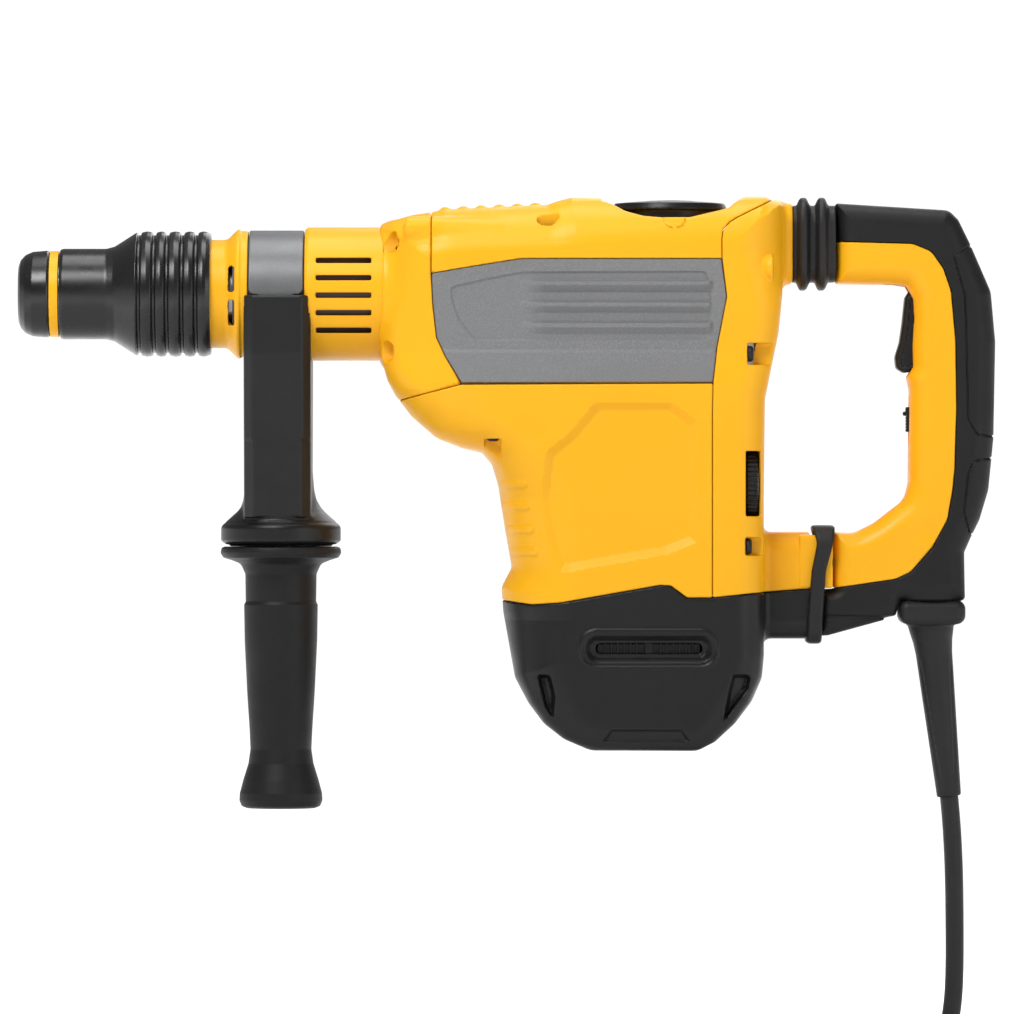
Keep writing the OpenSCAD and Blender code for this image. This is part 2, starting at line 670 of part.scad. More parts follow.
module crank_gear() {
    color("#9a9da1") difference() {
        translate([crank_x, 0, gear_z])
            spur_gear(crank_teeth, gear_face, 6 + eps, 180 / crank_teeth);
        for (a = [0:60:300]) translate([crank_x, 0, 0]) rotate([0, 0, a])
            translate([16, 0, gear_z - 1]) cylinder(r = 4.5, h = gear_face + 2, $fn = 32);
    }
}

module connecting_rod() {
    color(steel) difference() {
        union() {
            ring_z(wrist_x, axis_z - 4, axis_z + 4, 9, 0);
            ring_z(pin_x, axis_z - 4, axis_z + 4, 11, 0);
            block([wrist_x, -4.5, axis_z - 4], [pin_x, 4.5, axis_z + 4]);
        }
        translate([wrist_x, 0, 40]) cylinder(r = 5.06, h = 40, $fn = 48);
        translate([pin_x, 0, 40]) cylinder(r = 6.1, h = 40, $fn = 48);
    }
}

module piston() {
    color(alu) difference() {
        lathe_x([[piston_x, 0], [piston_x, cylinder_r - fit], [piston_x + 30, cylinder_r - fit],
            [piston_x + 30, 0]]);
        block([wrist_x - 10.5, -cylinder_r, axis_z - 4.6], [wrist_x + 30, cylinder_r, axis_z + 4.6]);
        translate([wrist_x, 0, 40]) cylinder(r = 5, h = 40, $fn = 48);
    }
}

module wrist_pin() { color(steel) ring_z(wrist_x, axis_z - 14, axis_z + 14, 4.99, 0); }

module striker() {
    rear_x = -238;
    front_x = rear_x - striker_len;
    color(steel) lathe_x([[rear_x, 0], [rear_x, cylinder_r - fit], [front_x, cylinder_r - fit],
        [front_x - 3, 9.5], [front_x - 11.5, 9.5], [front_x - 12, 9], [front_x - 12, 0]]);
}

module impact_bolt() {
    color("#c4c8cc") lathe_x([[-361, 0], [-361, 7.4], [-360.4, 8], [-341, 8], [-340, 13],
        [-326, 13], [-325, 9], [-312.5, 9], [-312, 8.5], [-312, 0]]);
}

module bolt_guide() {
    color("#8f9498") {
        tube_x(-362, -344, cylinder_r - eps, 8.07);
        tube_x(-322, -314, cylinder_r - eps, 9.4);
    }
}

// ---------- motor ----------
module armature() {
    color(steel) {
        lathe_z(motor_x, [[0, -150.5], [5, -150.5], [5, -141], [6, -140.5], [6, -112], [19, -112],
            [19, -105.1], [22.3, -105], [22.3, -53], [19, -52.9], [19, -46], [6, -46], [6, 9.5],
            [3.6, 9.9], [3.6, 12], [0, 12]]);
        translate([motor_x, 0, gear_z - 1]) spur_gear(pinion_teeth, gear_face + 1.2, 0);
    }
}

bars = 24;
module commutator() {
    color("#b06a3a") difference() {
        ring_z(motor_x, -132, -116, 14, 6 + eps);
        for (i = [0:bars - 1]) translate([motor_x, 0, -133]) rotate([0, 0, i * 360 / bars])
            block([12.5, -0.3, 0], [15, 0.3, 15]);
    }
}

blades = 12;
module cooling_fan() {
    color("#3a3b3e") {
        ring_z(motor_x, -36, -33.5, 37, 6 + eps);
        ring_z(motor_x, -36, -24, 10, 6 + eps);
        for (i = [0:blades - 1]) translate([motor_x, 0, -33.6]) rotate([0, 0, i * 360 / blades])
            rotate([0, 0, 12]) block([9.5, -0.8, 0], [35, 0.8, 9]);
    }
}

module stator() {
    color("#6e7073") difference() {
        intersection() {
            ring_z(motor_x, -108, -50, 41, 23);
            block([motor_x - 41, -38, -108], [motor_x + 41, 38, -50]);
        }
        for (a = [45, 135, 225, 315]) translate([motor_x, 0, -109]) rotate([0, 0, a])
            translate([31, 0, 0]) cylinder(r = 2.2, h = 60, $fn = 24);
    }
}

module field_coils() {
    color("#b5652d") {
        ring_z(motor_x, -117, -108.05, 36, 24);
        ring_z(motor_x, -49.95, -41, 36, 24);
    }
}

module brush_holders() {
    color("#c9a24a") for (side = [-1, 1]) {
        difference() {
            block([motor_x - 6, side * 29 - 9, -130], [motor_x + 6, side * 29 + 9, -118.5]);
            block([motor_x - 4, side * 29 - 10, -128], [motor_x + 4, side * 29 + 10, -120.5]);
        }
        block([motor_x - 3.9, side * 25 - 10.8, -127.9], [motor_x + 3.9, side * 25 + 10.8, -120.6]);
    }
}

module control_module() {
    color("#2f5d46") {
        block([-112, -30, -80], [-110.4, 30, 0]);
        block([-110.4, -24, -74], [-103.5, 24, -8]);
    }
}

module mode_dial() {
    color(black) {
        lathe_z(dial_x, [[0, dial_seat_z + 0.1], [dial_r, dial_seat_z + 0.1], [dial_r, dial_seat_z + 5],
            [dial_r - 3, dial_seat_z + dial_h], [0, dial_seat_z + dial_h]]);
        ring_z(dial_x, 66, 95.6, 6, 0);
    }
}

wheel_grooves = 36;
module speed_dial() {
    color(black) translate([speed_x - 3, speed_y, speed_z]) rotate([0, 90, 0]) difference() {
        union() {
            cylinder(r = 17, h = 6, $fn = 72);
            translate([0, 0, -2.4]) cylinder(r = 2, h = 3, $fn = 24);
        }
        for (i = [0:wheel_grooves - 1]) rotate([0, 0, i * 360 / wheel_grooves])
            translate([17, 0, -1]) cylinder(r = 0.7, h = 8, $fn = 16);
    }
}

// ---------- rear handle ----------
module rounded_section(half_y, half_z, r) {
    square([2 * (half_z - r), 2 * half_y], center = true);
    square([2 * half_z, 2 * (half_y - r)], center = true);
    for (a = [-1, 1]) for (b = [-1, 1]) translate([a * (half_z - r), b * (half_y - r)])
        circle(r, $fn = 48);
}

module section_x(x0, x1, half_y, half_z, r) {
    translate([x0, 0, isolator_z]) rotate([0, 90, 0]) linear_extrude(x1 - x0)
        rounded_section(half_y, half_z, r);
}

module isolator_bellows() {
    color("#1c1d1f") difference() {
        union() {
            section_x(neck_x + 0.1, -56.2, 17, 18.4, 9);
            for (x = [-75.5, -66.5]) section_x(x, x + 7, 20.4, 21.8, 11);
        }
        section_x(-90, -40, 13, 14.4, 8);
    }
}

module isolator_spring() {
    color(steel) translate([0, 0, isolator_z])
        swept_tube(helix(8, -75.8, -57.6, 4, 16), 1.1, 8, [1, 0, 0]);
}

module handle_pins() {
    color(steel) {
        at_x_hole(-92, -48, isolator_z, 4);
        at_x_hole(-94.6, -91.9, isolator_z, 8);
        at_x_hole(-48.1, -45, isolator_z, 6.5);
        translate([pivot_x, 0, pivot_z]) rotate([90, 0, 0])
            cylinder(r = 4, h = 34.4, center = true, $fn = 48);
    }
}

module handle_strap() {
    color("#1c1d1f") difference() {
        block([-68.8, -21.5, -112], [-60, 21.5, -53.2]);
        block([-70, -handle_half - 0.5, -109], [-50, handle_half + 0.5, -56.5]);
    }
}

// Boundary between the yellow front shell and the black rear shell of the handle
seam = [[-56, 84.2], [-19, 83.2], [-9.8, 79.5], [-3.9, 71], [-0.2, 60], [2, 35.6], [2.4, 3],
    [1.5, -26.8], [0.5, -36.6], [-2, -51], [-9.3, -64.4], [-20, -76.6], [-27.3, -80],
    [-57, -84.4]];

module rear_handle() {
    color(yellow) difference() {
        union() {
            slab_y(-handle_half, handle_half) polygon(concat(seam, [[-57, -57.1], [-46.8, -57.6],
                [-37.1, -52.7], [-22.4, -41.3], [-20.5, -35.1], [-20.5, -15.6], [-20, 12.2],
                [-21.4, 18.5], [-18.7, 23.5], [-19, 34], [-18.1, 46.4], [-18.5, 56], [-22, 62.5],
                [-29.3, 63.4], [-56, 63.9]]));
            difference() {
                block([-68.4, -9.6, -82], [-56.5, 9.6, -59]);
                block([-80, -20, -90], [-66.5, 20, -78.5]);
            }
        }
        translate([pivot_x, 0, pivot_z]) rotate([90, 0, 0])
            cylinder(r = 4.06, h = 60, center = true, $fn = 48);
        block([-17.4, -handle_half + wall, -42], [10, handle_half - wall, 60]);
        block([-30, -8.6, 20], [-10, 8.6, 66]);
        block([-30, -4.6, -14], [-15, 4.6, 9]);
        at_x_hole(-58, -40, isolator_z, 9);
    }
}

module handle_overmould() {
    color(black) difference() {
        slab_y(-handle_half, handle_half) polygon(concat([for (i = [len(seam) - 1:-1:0]) seam[i]],
            [[-56, 103], [-1, 99.6], [3.4, 95.2], [9.3, 83.4], [19.5, 60], [21.7, 35.6],
            [20.8, -11.2], [18.3, -36.6], [14, -51], [10.2, -59], [6.5, -67], [6.8, -90],
            [-24.5, -90], [-27.3, -98.4], [-60, -107.4], [-64.4, -107.6], [-64.4, -85],
            [-57.2, -84.5]]));
        block([-10, -handle_half + wall, -38], [9, handle_half - wall, 58]);
        at_x_hole(-58, -40, isolator_z, 9);
    }
}

module trigger() {
    color("#2a2b2d") difference() {
        slab_y(-8.2, 8.2) polygon([[-19.5, 61.4], [-22.4, 56], [-23.6, 44], [-25, 34], [-27.4, 27],
            [-27, 23.5], [-24, 21], [-20, 21], [-13, 24], [-11, 40], [-11, 56], [-14, 61.4]]);
        translate([trigger_x, 0, trigger_z]) rotate([90, 0, 0])
            cylinder(r = 2.06, h = 40, center = true, $fn = 36);
    }
}

module lock_slider() {
    color("#2a2b2d") {
        block([-21.6, -4.2, -8.4], [-14, 4.2, 4]);
        block([-23, -3, -0.4], [-21.4, 3, 1.6]);
        block([-14.1, -7, -8.4], [-12.4, 7, 4]);
    }
}

module switch_module() {
    color("#38393c") {
        block([-4, -11, -14], [4, 11, 55]);
        translate([trigger_x, 0, trigger_z]) rotate([90, 0, 0])
            cylinder(r = 2, h = 28.8, center = true, $fn = 36);
        block([-5, -4, 30], [-3.9, 4, 40]);
    }
}

// ---------- cord ----------
boot_top = [-9.3, 0, -102.4];
boot_end = [-0.5, 0, -186];
boot_tilt = atan((boot_end[0] - boot_top[0]) / (boot_top[2] - boot_end[2]));
boot_len = norm(boot_end - boot_top);

module cord_gland_boot() {
    color("#1c1d1f") {
        block([-24, -16, -99.5], [6.4, 16, -90.1]);
        block([-22.2, -14, -102.4], [2.9, 14, -99.4]);
        intersection() {
            translate(boot_end) rotate([0, -boot_tilt, 0]) rotate_extrude($fn = 48)
                polygon([[0, 0], [5.9, 0], [8.8, boot_len - 12], [10.6, boot_len],
                    [10.6, boot_len + 8], [0, boot_len + 8]]);
            block([-40, -20, -200], [40, 20, -102.3]);
        }
    }
}

// The free cord hangs from the boot to the floor and runs into the stored coil
cord_path = [[-0.5, 0, -186.1], [0.5, 0, -196], [1.4, 0, -210], [2, 0, -226], [2.2, 0, -244],
    [2.3, 0, -264], [2, 0, -280], [0.6, 0, -294], [-2.6, 0, -306], [-8.4, 0, -317],
    [-17, 0, -325], [-28, 0, -329], [-46, 0, -330], [-70, 0, -330], [-94, 0, -330]];
floor_z = -334.5;
coil_x = -94;
coil_r = 56;
coil_half = 2 * cord_d;
coil_h = 3 * cord_d;
coil_y = coil_r + coil_half - cord_d / 2;
plug_x = -40;
plug_y = coil_y + coil_r + coil_half - cord_d / 2;
plug_axis = 12;
tail_path = [[coil_x, plug_y, floor_z + 2.5 * cord_d], [-78, plug_y, floor_z + 21.5],
    [-66, plug_y, floor_z + 18], [-54, plug_y, floor_z + 13.5], [plug_x - 8, plug_y, floor_z + 12.2],
    [plug_x, plug_y, floor_z + plug_axis]];

tie_w = 12;

// The stretch that hangs from the boot, and the short tail from the coil to the plug
module power_cord() {
    color("#151617") {
        swept_tube(cord_path, cord_d / 2, 10, [0, 1, 0]);
        swept_tube(tail_path, cord_d / 2, 10, [0, 1, 0]);
    }
}

module cord_coil() {
    inner = coil_r - coil_half;
    outer = coil_r + coil_half;
    edge = cord_d / 2 - 1;
    color("#151617") translate([coil_x, coil_y, floor_z])
        rotate_extrude($fn = 96) polygon([[inner, edge], [inner + edge, 0], [outer - edge, 0],
            [outer, edge], [outer, coil_h - edge], [outer - edge, coil_h],
            [inner + edge, coil_h], [inner, coil_h - edge]]);
}

module cord_tie() {
    color("#3c3d40") translate([coil_x - coil_r, coil_y - tie_w / 2, floor_z]) difference() {
        translate([-coil_half - 1.8, 0, 0]) cube([2 * coil_half + 3.6, tie_w, coil_h + 1.8]);
        translate([-coil_half - 0.4, -1, -1]) cube([2 * coil_half + 0.8, tie_w + 2, coil_h + 1.2]);
    }
}

module power_plug() {
    color("#1c1d1f") translate([plug_x, plug_y, floor_z]) {
        translate([0, -13, 0]) cube([34, 26, 2 * plug_axis]);
        translate([34, -15.5, 0]) cube([5, 31, 2 * plug_axis + 1]);
    }
    color("#c8b88a") translate([plug_x + 39, plug_y, floor_z + plug_axis]) for (side = [-1, 1])
        translate([0, side * 6.35, 0]) rotate([0, 90, 0]) cylinder(r = 2.4, h = 19, $fn = 32);
}

nose_cap();
accent_ring();
lock_sleeve();
sleeve_spring();
tool_holder();
locking_bars();
front_collar();
barrel_tube();
barrel_sleeve();
clamp_band();
handle_bracket();
clamp_bolt();
grip_core();
side_grip();
front_cover();
gear_cover();
side_panel_left();
side_panel_right();
motor_housing();
motor_cap();
rear_cover();
housing_screws();
gear_case();
gear_case_lid();
bearing_plate();
bearings();
spindle_tube();
bevel_ring_gear();
bevel_shaft();
crankshaft();
crank_gear();
connecting_rod();
piston();
wrist_pin();
striker();
impact_bolt();
bolt_guide();
armature();
commutator();
cooling_fan();
stator();
field_coils();
brush_holders();
control_module();
mode_dial();
speed_dial();
isolator_bellows();
isolator_spring();
handle_pins();
handle_strap();
rear_handle();
handle_overmould();
trigger();
lock_slider();
switch_module();
cord_gland_boot();
power_cord();
cord_coil();
cord_tie();
power_plug();
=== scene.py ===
"""An L-shaped demolition hammer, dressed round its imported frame. Fields and profiles are in millimetres."""
import math

import bpy
import numpy as np
import openvdb
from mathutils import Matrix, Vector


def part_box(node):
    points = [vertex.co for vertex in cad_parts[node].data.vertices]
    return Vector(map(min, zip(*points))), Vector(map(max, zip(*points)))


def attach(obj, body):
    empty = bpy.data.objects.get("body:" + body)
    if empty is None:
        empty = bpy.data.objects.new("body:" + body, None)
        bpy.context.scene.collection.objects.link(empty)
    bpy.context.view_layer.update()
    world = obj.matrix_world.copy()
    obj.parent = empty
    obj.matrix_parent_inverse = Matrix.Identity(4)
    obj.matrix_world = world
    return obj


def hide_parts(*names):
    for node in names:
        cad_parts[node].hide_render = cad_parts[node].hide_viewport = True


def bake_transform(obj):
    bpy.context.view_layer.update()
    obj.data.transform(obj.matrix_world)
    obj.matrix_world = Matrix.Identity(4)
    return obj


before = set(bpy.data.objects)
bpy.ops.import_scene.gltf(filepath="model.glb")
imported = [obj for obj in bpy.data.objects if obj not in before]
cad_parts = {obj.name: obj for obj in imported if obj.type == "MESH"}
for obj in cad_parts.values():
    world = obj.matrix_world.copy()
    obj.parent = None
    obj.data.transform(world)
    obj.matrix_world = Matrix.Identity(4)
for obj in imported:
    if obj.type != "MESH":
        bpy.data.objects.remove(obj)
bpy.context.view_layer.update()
MM = 0.001
X, Y, Z = range(3)


def cad(node):
    """Lowest and highest corners of a CAD node, in millimetres."""
    low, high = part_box(node)
    return np.array(low) / MM, np.array(high) / MM


def middle(node, axis):
    return float(sum(cad(node))[axis]) / 2


def half_size(node, axis):
    low, high = cad(node)
    return (high - low)[axis] / 2


# ---------- stations taken from the frame ----------
AXIS_Z = middle("barrel_sleeve", Z)
NOSE_X = cad("nose_cap")[0][X]
CAP_END = cad("nose_cap")[1][X]
RING_END = cad("accent_ring")[1][X]
SLEEVE_END = cad("lock_sleeve")[1][X]
COLLAR_END = cad("front_collar")[1][X]
SEAT_X = cad("barrel_sleeve")[0][X]
BARREL_R = half_size("barrel_sleeve", Z)
GRIP_X = middle("side_grip", X)
GRIP_BOTTOM = cad("side_grip")[0][Z]
FLANGE_R = half_size("side_grip", X)
DIAL_X = middle("mode_dial", X)
DIAL_R = half_size("mode_dial", X)
DIAL_TOP = cad("mode_dial")[1][Z]
HANDLE_HALF = cad("rear_handle")[1][Y]
NECK_X = cad("isolator_bellows")[0][X] - 0.1
ISOLATOR_Z = middle("isolator_bellows", Z)


# ---------- materials ----------
def node_of(tree, kind, **inputs):
    node = tree.nodes.new(kind)
    for key, value in inputs.items():
        node.inputs[key.replace("_", " ")].default_value = value
    return node


def noise(tree, coords, scale, detail=2.0, roughness=0.5):
    node = node_of(tree, "ShaderNodeTexNoise", Scale=scale, Detail=detail, Roughness=roughness)
    tree.links.new(coords, node.inputs["Vector"])
    return node.outputs["Fac"]


def ramp(tree, factor, low, high, from_low=0.3, from_high=0.7):
    node = node_of(tree, "ShaderNodeMapRange", From_Min=from_low, From_Max=from_high, To_Min=low, To_Max=high)
    tree.links.new(factor, node.inputs["Value"])
    return node.outputs["Result"]


def blended(tree, factor, first, second):
    """Mixes two colours; the first may be another node's output."""
    node = tree.nodes.new("ShaderNodeMix")
    node.data_type = "RGBA"
    if isinstance(first, tuple):
        node.inputs["A"].default_value = (*first, 1)
    else:
        tree.links.new(first, node.inputs["A"])
    node.inputs["B"].default_value = (*second, 1)
    tree.links.new(factor, node.inputs["Factor"])
    return node.outputs["Result"]


def bumped(tree, height, strength, distance, under=None):
    node = node_of(tree, "ShaderNodeBump", Strength=strength, Distance=distance)
    tree.links.new(height, node.inputs["Height"])
    if under is not None:
        tree.links.new(under, node.inputs["Normal"])
    return node.outputs["Normal"]


def moulded(name, color, rough, grain, depth, shade=0.93, metallic=0.0, specular=0.5, fleck=0.0):
    """A moulded or cast surface: fine grain, a slow waviness, and small changes of shade and gloss.
    grain is the number of grains per metre, and depth the height of one in metres."""
    made = bpy.data.materials.new(name)
    made.use_nodes = True
    tree = made.node_tree
    shader = tree.nodes["Principled BSDF"]
    coords = tree.nodes.new("ShaderNodeTexCoord").outputs["Object"]
    fine = noise(tree, coords, grain, 3, 0.6)
    slow = noise(tree, coords, 18, 2, 0.5)
    patch = noise(tree, coords, 70, 4, 0.6)
    base = blended(tree, ramp(tree, slow, 0, 1), tuple(c * shade for c in color), color)
    if fleck:
        specks = ramp(tree, noise(tree, coords, grain * 0.7, 1), 0, 1, 0.52, 0.6)
        base = blended(tree, specks, base, tuple(min(1, c * (1 + fleck)) for c in color))
    tree.links.new(base, shader.inputs["Base Color"])
    tree.links.new(ramp(tree, patch, rough - 0.05, rough + 0.07), shader.inputs["Roughness"])
    wave = bumped(tree, slow, 0.15, 0.0006)
    tree.links.new(bumped(tree, fine, 0.6, depth, wave), shader.inputs["Normal"])
    shader.inputs["Metallic"].default_value = metallic
    shader.inputs["Specular IOR Level"].default_value = specular
    return made


# a wave node turns through this many radians per unit of length
WAVES_PER_UNIT = 20


def turned(name, color, rough, axis, pitch=0.0009):
    """Machined metal with fine tool lines across the given axis, 2 pi times the pitch apart."""
    made = moulded(name, color, rough, 900, 0.00002, metallic=1.0)
    tree = made.node_tree
    shader = tree.nodes["Principled BSDF"]
    coords = tree.nodes["Texture Coordinate"].outputs["Object"]
    wave = node_of(tree, "ShaderNodeTexWave", Scale=1 / pitch / WAVES_PER_UNIT, Distortion=0.6, Detail=2.0)
    wave.bands_direction = axis
    tree.links.new(coords, wave.inputs["Vector"])
    under = shader.inputs["Normal"].links[0].from_socket
    tree.links.new(bumped(tree, wave.outputs["Fac"], 0.25, 0.00003, under), shader.inputs["Normal"])
    return made


YELLOW = moulded("yellow_plastic", (0.96, 0.468, 0.011), 0.36, 2600, 0.000025, 0.965, specular=0.24)
BLACK = moulded("black_plastic", (0.009, 0.009, 0.0095), 0.36, 2200, 0.00004, 0.85, specular=0.33)
BLACK_SOFT = moulded("soft_overmould", (0.009, 0.009, 0.0095), 0.5, 1500, 0.00007, 0.85, specular=0.3)
BLACK_GLOSS = moulded("smooth_black", (0.01, 0.01, 0.011), 0.27, 2600, 0.00002, 0.9)
RUBBER = moulded("black_rubber", (0.016, 0.016, 0.017), 0.5, 1300, 0.00006, 0.8, specular=0.35)
GREY = moulded("grey_panel", (0.2, 0.202, 0.206), 0.48, 2300, 0.00005, 0.95, specular=0.35, fleck=0.16)
BAND = moulded("grey_band", (0.16, 0.163, 0.167), 0.4, 1900, 0.00003, 0.94, metallic=0.3, fleck=0.08)
CASTING = moulded("cast_aluminium", (0.42, 0.43, 0.44), 0.45, 1200, 0.00012, 0.88, metallic=0.9)
# dark metal, darker than bare casting: partly the parts' own colour, partly painted shade for what shows
# through the collar's and the barrel's slots
DARK_CASTING_AND_SHADE = moulded("dark_casting_and_shade", (0.07, 0.072, 0.075), 0.45, 1200, 0.0001, 0.85, metallic=0.6)
STEEL_X = turned("turned_steel_x", (0.5, 0.51, 0.53), 0.3, "X")
STEEL_Z = turned("turned_steel_z", (0.5, 0.51, 0.53), 0.3, "Z")
GEAR_STEEL = moulded("gear_steel", (0.36, 0.36, 0.37), 0.35, 1600, 0.00003, 0.9, metallic=1.0)
SCREW = moulded("blackened_screw", (0.035, 0.035, 0.037), 0.45, 1800, 0.00003, 0.85, metallic=0.5,
                specular=0.3)
LAMINATION = turned("stacked_laminations", (0.2, 0.2, 0.21), 0.45, "Z", 0.0008)
COPPER = turned("varnished_copper", (0.6, 0.22, 0.08), 0.35, "Z", 0.0012)
BRASS = moulded("stamped_brass", (0.62, 0.42, 0.14), 0.35, 1200, 0.00004, 0.9, metallic=1.0)
BOARD = moulded("potted_board", (0.02, 0.12, 0.06), 0.4, 900, 0.0001, 0.8)
CORD = moulded("cord_rubber", (0.014, 0.014, 0.015), 0.46, 1700, 0.00005, 0.8, specular=0.4)


def sweep(name, centre, near, far):
    """A pale floor that glows more and more from near to far about its centre: a painted glow that stands in
    for a lit studio sweep and also lights the object.
    """
    made = moulded(name, (0.86, 0.86, 0.86), 0.8, 300, 0.00002, 0.995)
    tree = made.node_tree
    shader = tree.nodes["Principled BSDF"]
    away = node_of(tree, "ShaderNodeVectorMath")
    away.operation = "DISTANCE"
    away.inputs[1].default_value = centre
    tree.links.new(tree.nodes["Texture Coordinate"].outputs["Object"], away.inputs[0])
    # painted glow: the floor emits white light, from none at near to 0.95 at far
    shader.inputs["Emission Color"].default_value = (1, 1, 1, 1)
    tree.links.new(ramp(tree, away.outputs["Value"], 0, 0.95, near, far), shader.inputs["Emission Strength"])
    return made


FLOOR = sweep("pale_glowing_floor", (-0.2, -0.3, -0.33), 0.55, 1.05)


# ---------- camera, light and floor ----------
VIEW_X = -216.2
VIEW_Z = -44.9
VIEW_WIDTH = 494.8
CAMERA_DISTANCE = 4800
SENSOR = 36
# strength of the sky at the horizon and overhead, and how much of it is left behind the camera
HORIZON_LIGHT, DOME_LIGHT, BEHIND_CAMERA = 1.05, 0.22, 0.4
# half the floor's width in metres, and its cells along each side
FLOOR_HALF, FLOOR_CELLS = 9.0, 24


def place_camera():
    data = bpy.data.cameras.new("camera")
    data.sensor_width = SENSOR
    data.lens = SENSOR * CAMERA_DISTANCE / VIEW_WIDTH
    data.clip_end = 60
    camera = bpy.data.objects.new("camera", data)
    camera.location = (VIEW_X * MM, -CAMERA_DISTANCE * MM, VIEW_Z * MM)
    camera.rotation_euler = (math.radians(90), 0, 0)
    bpy.context.collection.objects.link(camera)
    bpy.context.scene.camera = camera
    bpy.context.scene.view_settings.view_transform = "Standard"


def area_light(name, where, aim, size, power):
    data = bpy.data.lights.new(name, "AREA")
    data.shape = "RECTANGLE"
    data.size = data.size_y = size
    data.energy = power
    light = bpy.data.objects.new(name, data)
    light.location = where
    offset = [a - w for a, w in zip(aim, where)]
    yaw = math.atan2(offset[1], offset[0])
    pitch = math.atan2(math.hypot(offset[0], offset[1]), -offset[2])
    light.rotation_euler = (pitch, 0, yaw - math.pi / 2)
    bpy.context.collection.objects.link(light)


def place_lights():
    for name, where, size, power in (("key_light", (-0.85, -1.28, 1.45), 0.8, 27),
                                     ("fill_light", (1.3, -1.5, 0.5), 1.0, 6),
                                     ("top_light", (-0.2, 0.1, 1.6), 1.0, 13),
                                     ("back_light", (0.3, 1.6, 0.9), 1.2, 9)):
        area_light(name, where, (VIEW_X * MM, 0, 0), size, power)
    world = bpy.context.scene.world or bpy.data.worlds.new("world")
    bpy.context.scene.world = world
    world.use_nodes = True
    tree = world.node_tree
    background = tree.nodes["Background"]
    background.inputs["Color"].default_value = (1, 1, 1, 1)
    coords = tree.nodes.new("ShaderNodeTexCoord").outputs["Generated"]
    height = tree.nodes.new("ShaderNodeSeparateXYZ")
    tree.links.new(coords, height.inputs["Vector"])
    band = ramp(tree, height.outputs["Z"], HORIZON_LIGHT, DOME_LIGHT, 0.075, 0.16)
    behind_camera = ramp(tree, height.outputs["Y"], BEHIND_CAMERA, 1, -0.8, -0.25)
    strength = node_of(tree, "ShaderNodeMath")
    strength.operation = "MULTIPLY"
    tree.links.new(band, strength.inputs[0])
    tree.links.new(behind_camera, strength.inputs[1])
    tree.links.new(strength.outputs[0], background.inputs["Strength"])


def place_floor():
    level = cad("cord_coil")[0][Z] * MM
    row = FLOOR_CELLS + 1
    steps = np.linspace(-FLOOR_HALF, FLOOR_HALF, row)
    points = [(x, y, level) for y in steps for x in steps]
    faces = [(j * row + i, j * row + i + 1, (j + 1) * row + i + 1, (j + 1) * row + i)
             for j in range(FLOOR_CELLS) for i in range(FLOOR_CELLS)]
    mesh = bpy.data.meshes.new("floor")
    mesh.from_pydata(points, [], faces)
    mesh.materials.append(FLOOR)
    floor = bpy.data.objects.new("floor", mesh)
    bpy.context.collection.objects.link(floor)


place_camera()
place_lights()
place_floor()


# ---------- outlines and fields ----------
def rounded(points, radius=0.5, steps=5):
    """The same outline with its corners made into arcs; a point may give its own radius as a third number."""
    out = []
    count = len(points)
    for i, point in enumerate(points):
        here = np.array(point[:2], float)
        size = point[2] if len(point) > 2 else radius
        before = np.array(points[i - 1][:2], float) - here
        after = np.array(points[(i + 1) % count][:2], float) - here
        a, b = np.linalg.norm(before), np.linalg.norm(after)
        cosine = np.clip(before @ after / (a * b), -1, 1)
        turn = math.pi - math.acos(cosine)
        if size <= 0 or turn < 0.02:
            out.append(tuple(here))
            continue
        reach = min(size * math.tan(turn / 2), 0.48 * a, 0.48 * b)
        start, end = here + before / a * reach, here + after / b * reach
        for k in range(steps + 1):
            t = k / steps
            out.append(tuple((1 - t) ** 2 * start + 2 * t * (1 - t) * here + t ** 2 * end))
    return out


def outline(px, pz, points):
    """Signed distance to a closed outline, negative inside."""
    px, pz = np.broadcast_arrays(np.asarray(px, np.float32), np.asarray(pz, np.float32))
    nearest = np.full(px.shape, 1e9, np.float32)
    inside = np.zeros(px.shape, bool)
    for i, (bx, bz) in enumerate(points):
        ax, az = points[i - 1]
        ex, ez = bx - ax, bz - az
        long = ex * ex + ez * ez
        if long < 1e-9:
            continue
        wx, wz = px - ax, pz - az
        t = np.clip((wx * ex + wz * ez) / long, 0, 1)
        nearest = np.minimum(nearest, (wx - ex * t) ** 2 + (wz - ez * t) ** 2)
        if ez:
            inside ^= ((az > pz) != (bz > pz)) & (px < ex * (pz - az) / ez + ax)
    return np.where(inside, -1, 1) * np.sqrt(nearest)


def meet(a, b, r=0.5):
    """Where both solids are, with a round edge."""
    u, v = np.maximum(a + r, 0), np.maximum(b + r, 0)
    return np.minimum(-r, np.maximum(a, b)) + np.sqrt(u * u + v * v)


def join(a, b, r=0.5):
    """Both solids together, with a round inner corner."""
    return -meet(-a, -b, r)


def cut(a, b, r=0.5):
    """The first solid without the second, with a round rim."""
    return meet(a, -b, r)


def span(c, low, high):
    return np.maximum(low - c, c - high)


def box_field(x, y, z, low, high, r=1.0):
    """A box with round edges."""
    parts = [span(c, lo + r, hi - r) for c, lo, hi in zip((x, y, z), low, high)]
    outer = sum(np.maximum(p, 0) ** 2 for p in parts)
    inner = np.minimum(np.maximum(np.maximum(parts[0], parts[1]), parts[2]), 0)
    return np.sqrt(outer) + inner - r


def rounded_pair(p, q, half_p, half_q, r):
    """Signed distance to a rectangle with round corners, centred on p = q = 0."""
    a, b = np.abs(p) - half_p + r, np.abs(q) - half_q + r
    return np.sqrt(np.maximum(a, 0) ** 2 + np.maximum(b, 0) ** 2) + np.minimum(np.maximum(a, b), 0) - r


def smooth(t):
    """0 to 1, with a gentle start and end."""
    t = np.clip(t, 0, 1)
    return t * t * (3 - 2 * t)


def ramp_in(distance, width):
    """0 outside an outline, rising smoothly to 1 at width inside it."""
    return smooth(-distance / width)


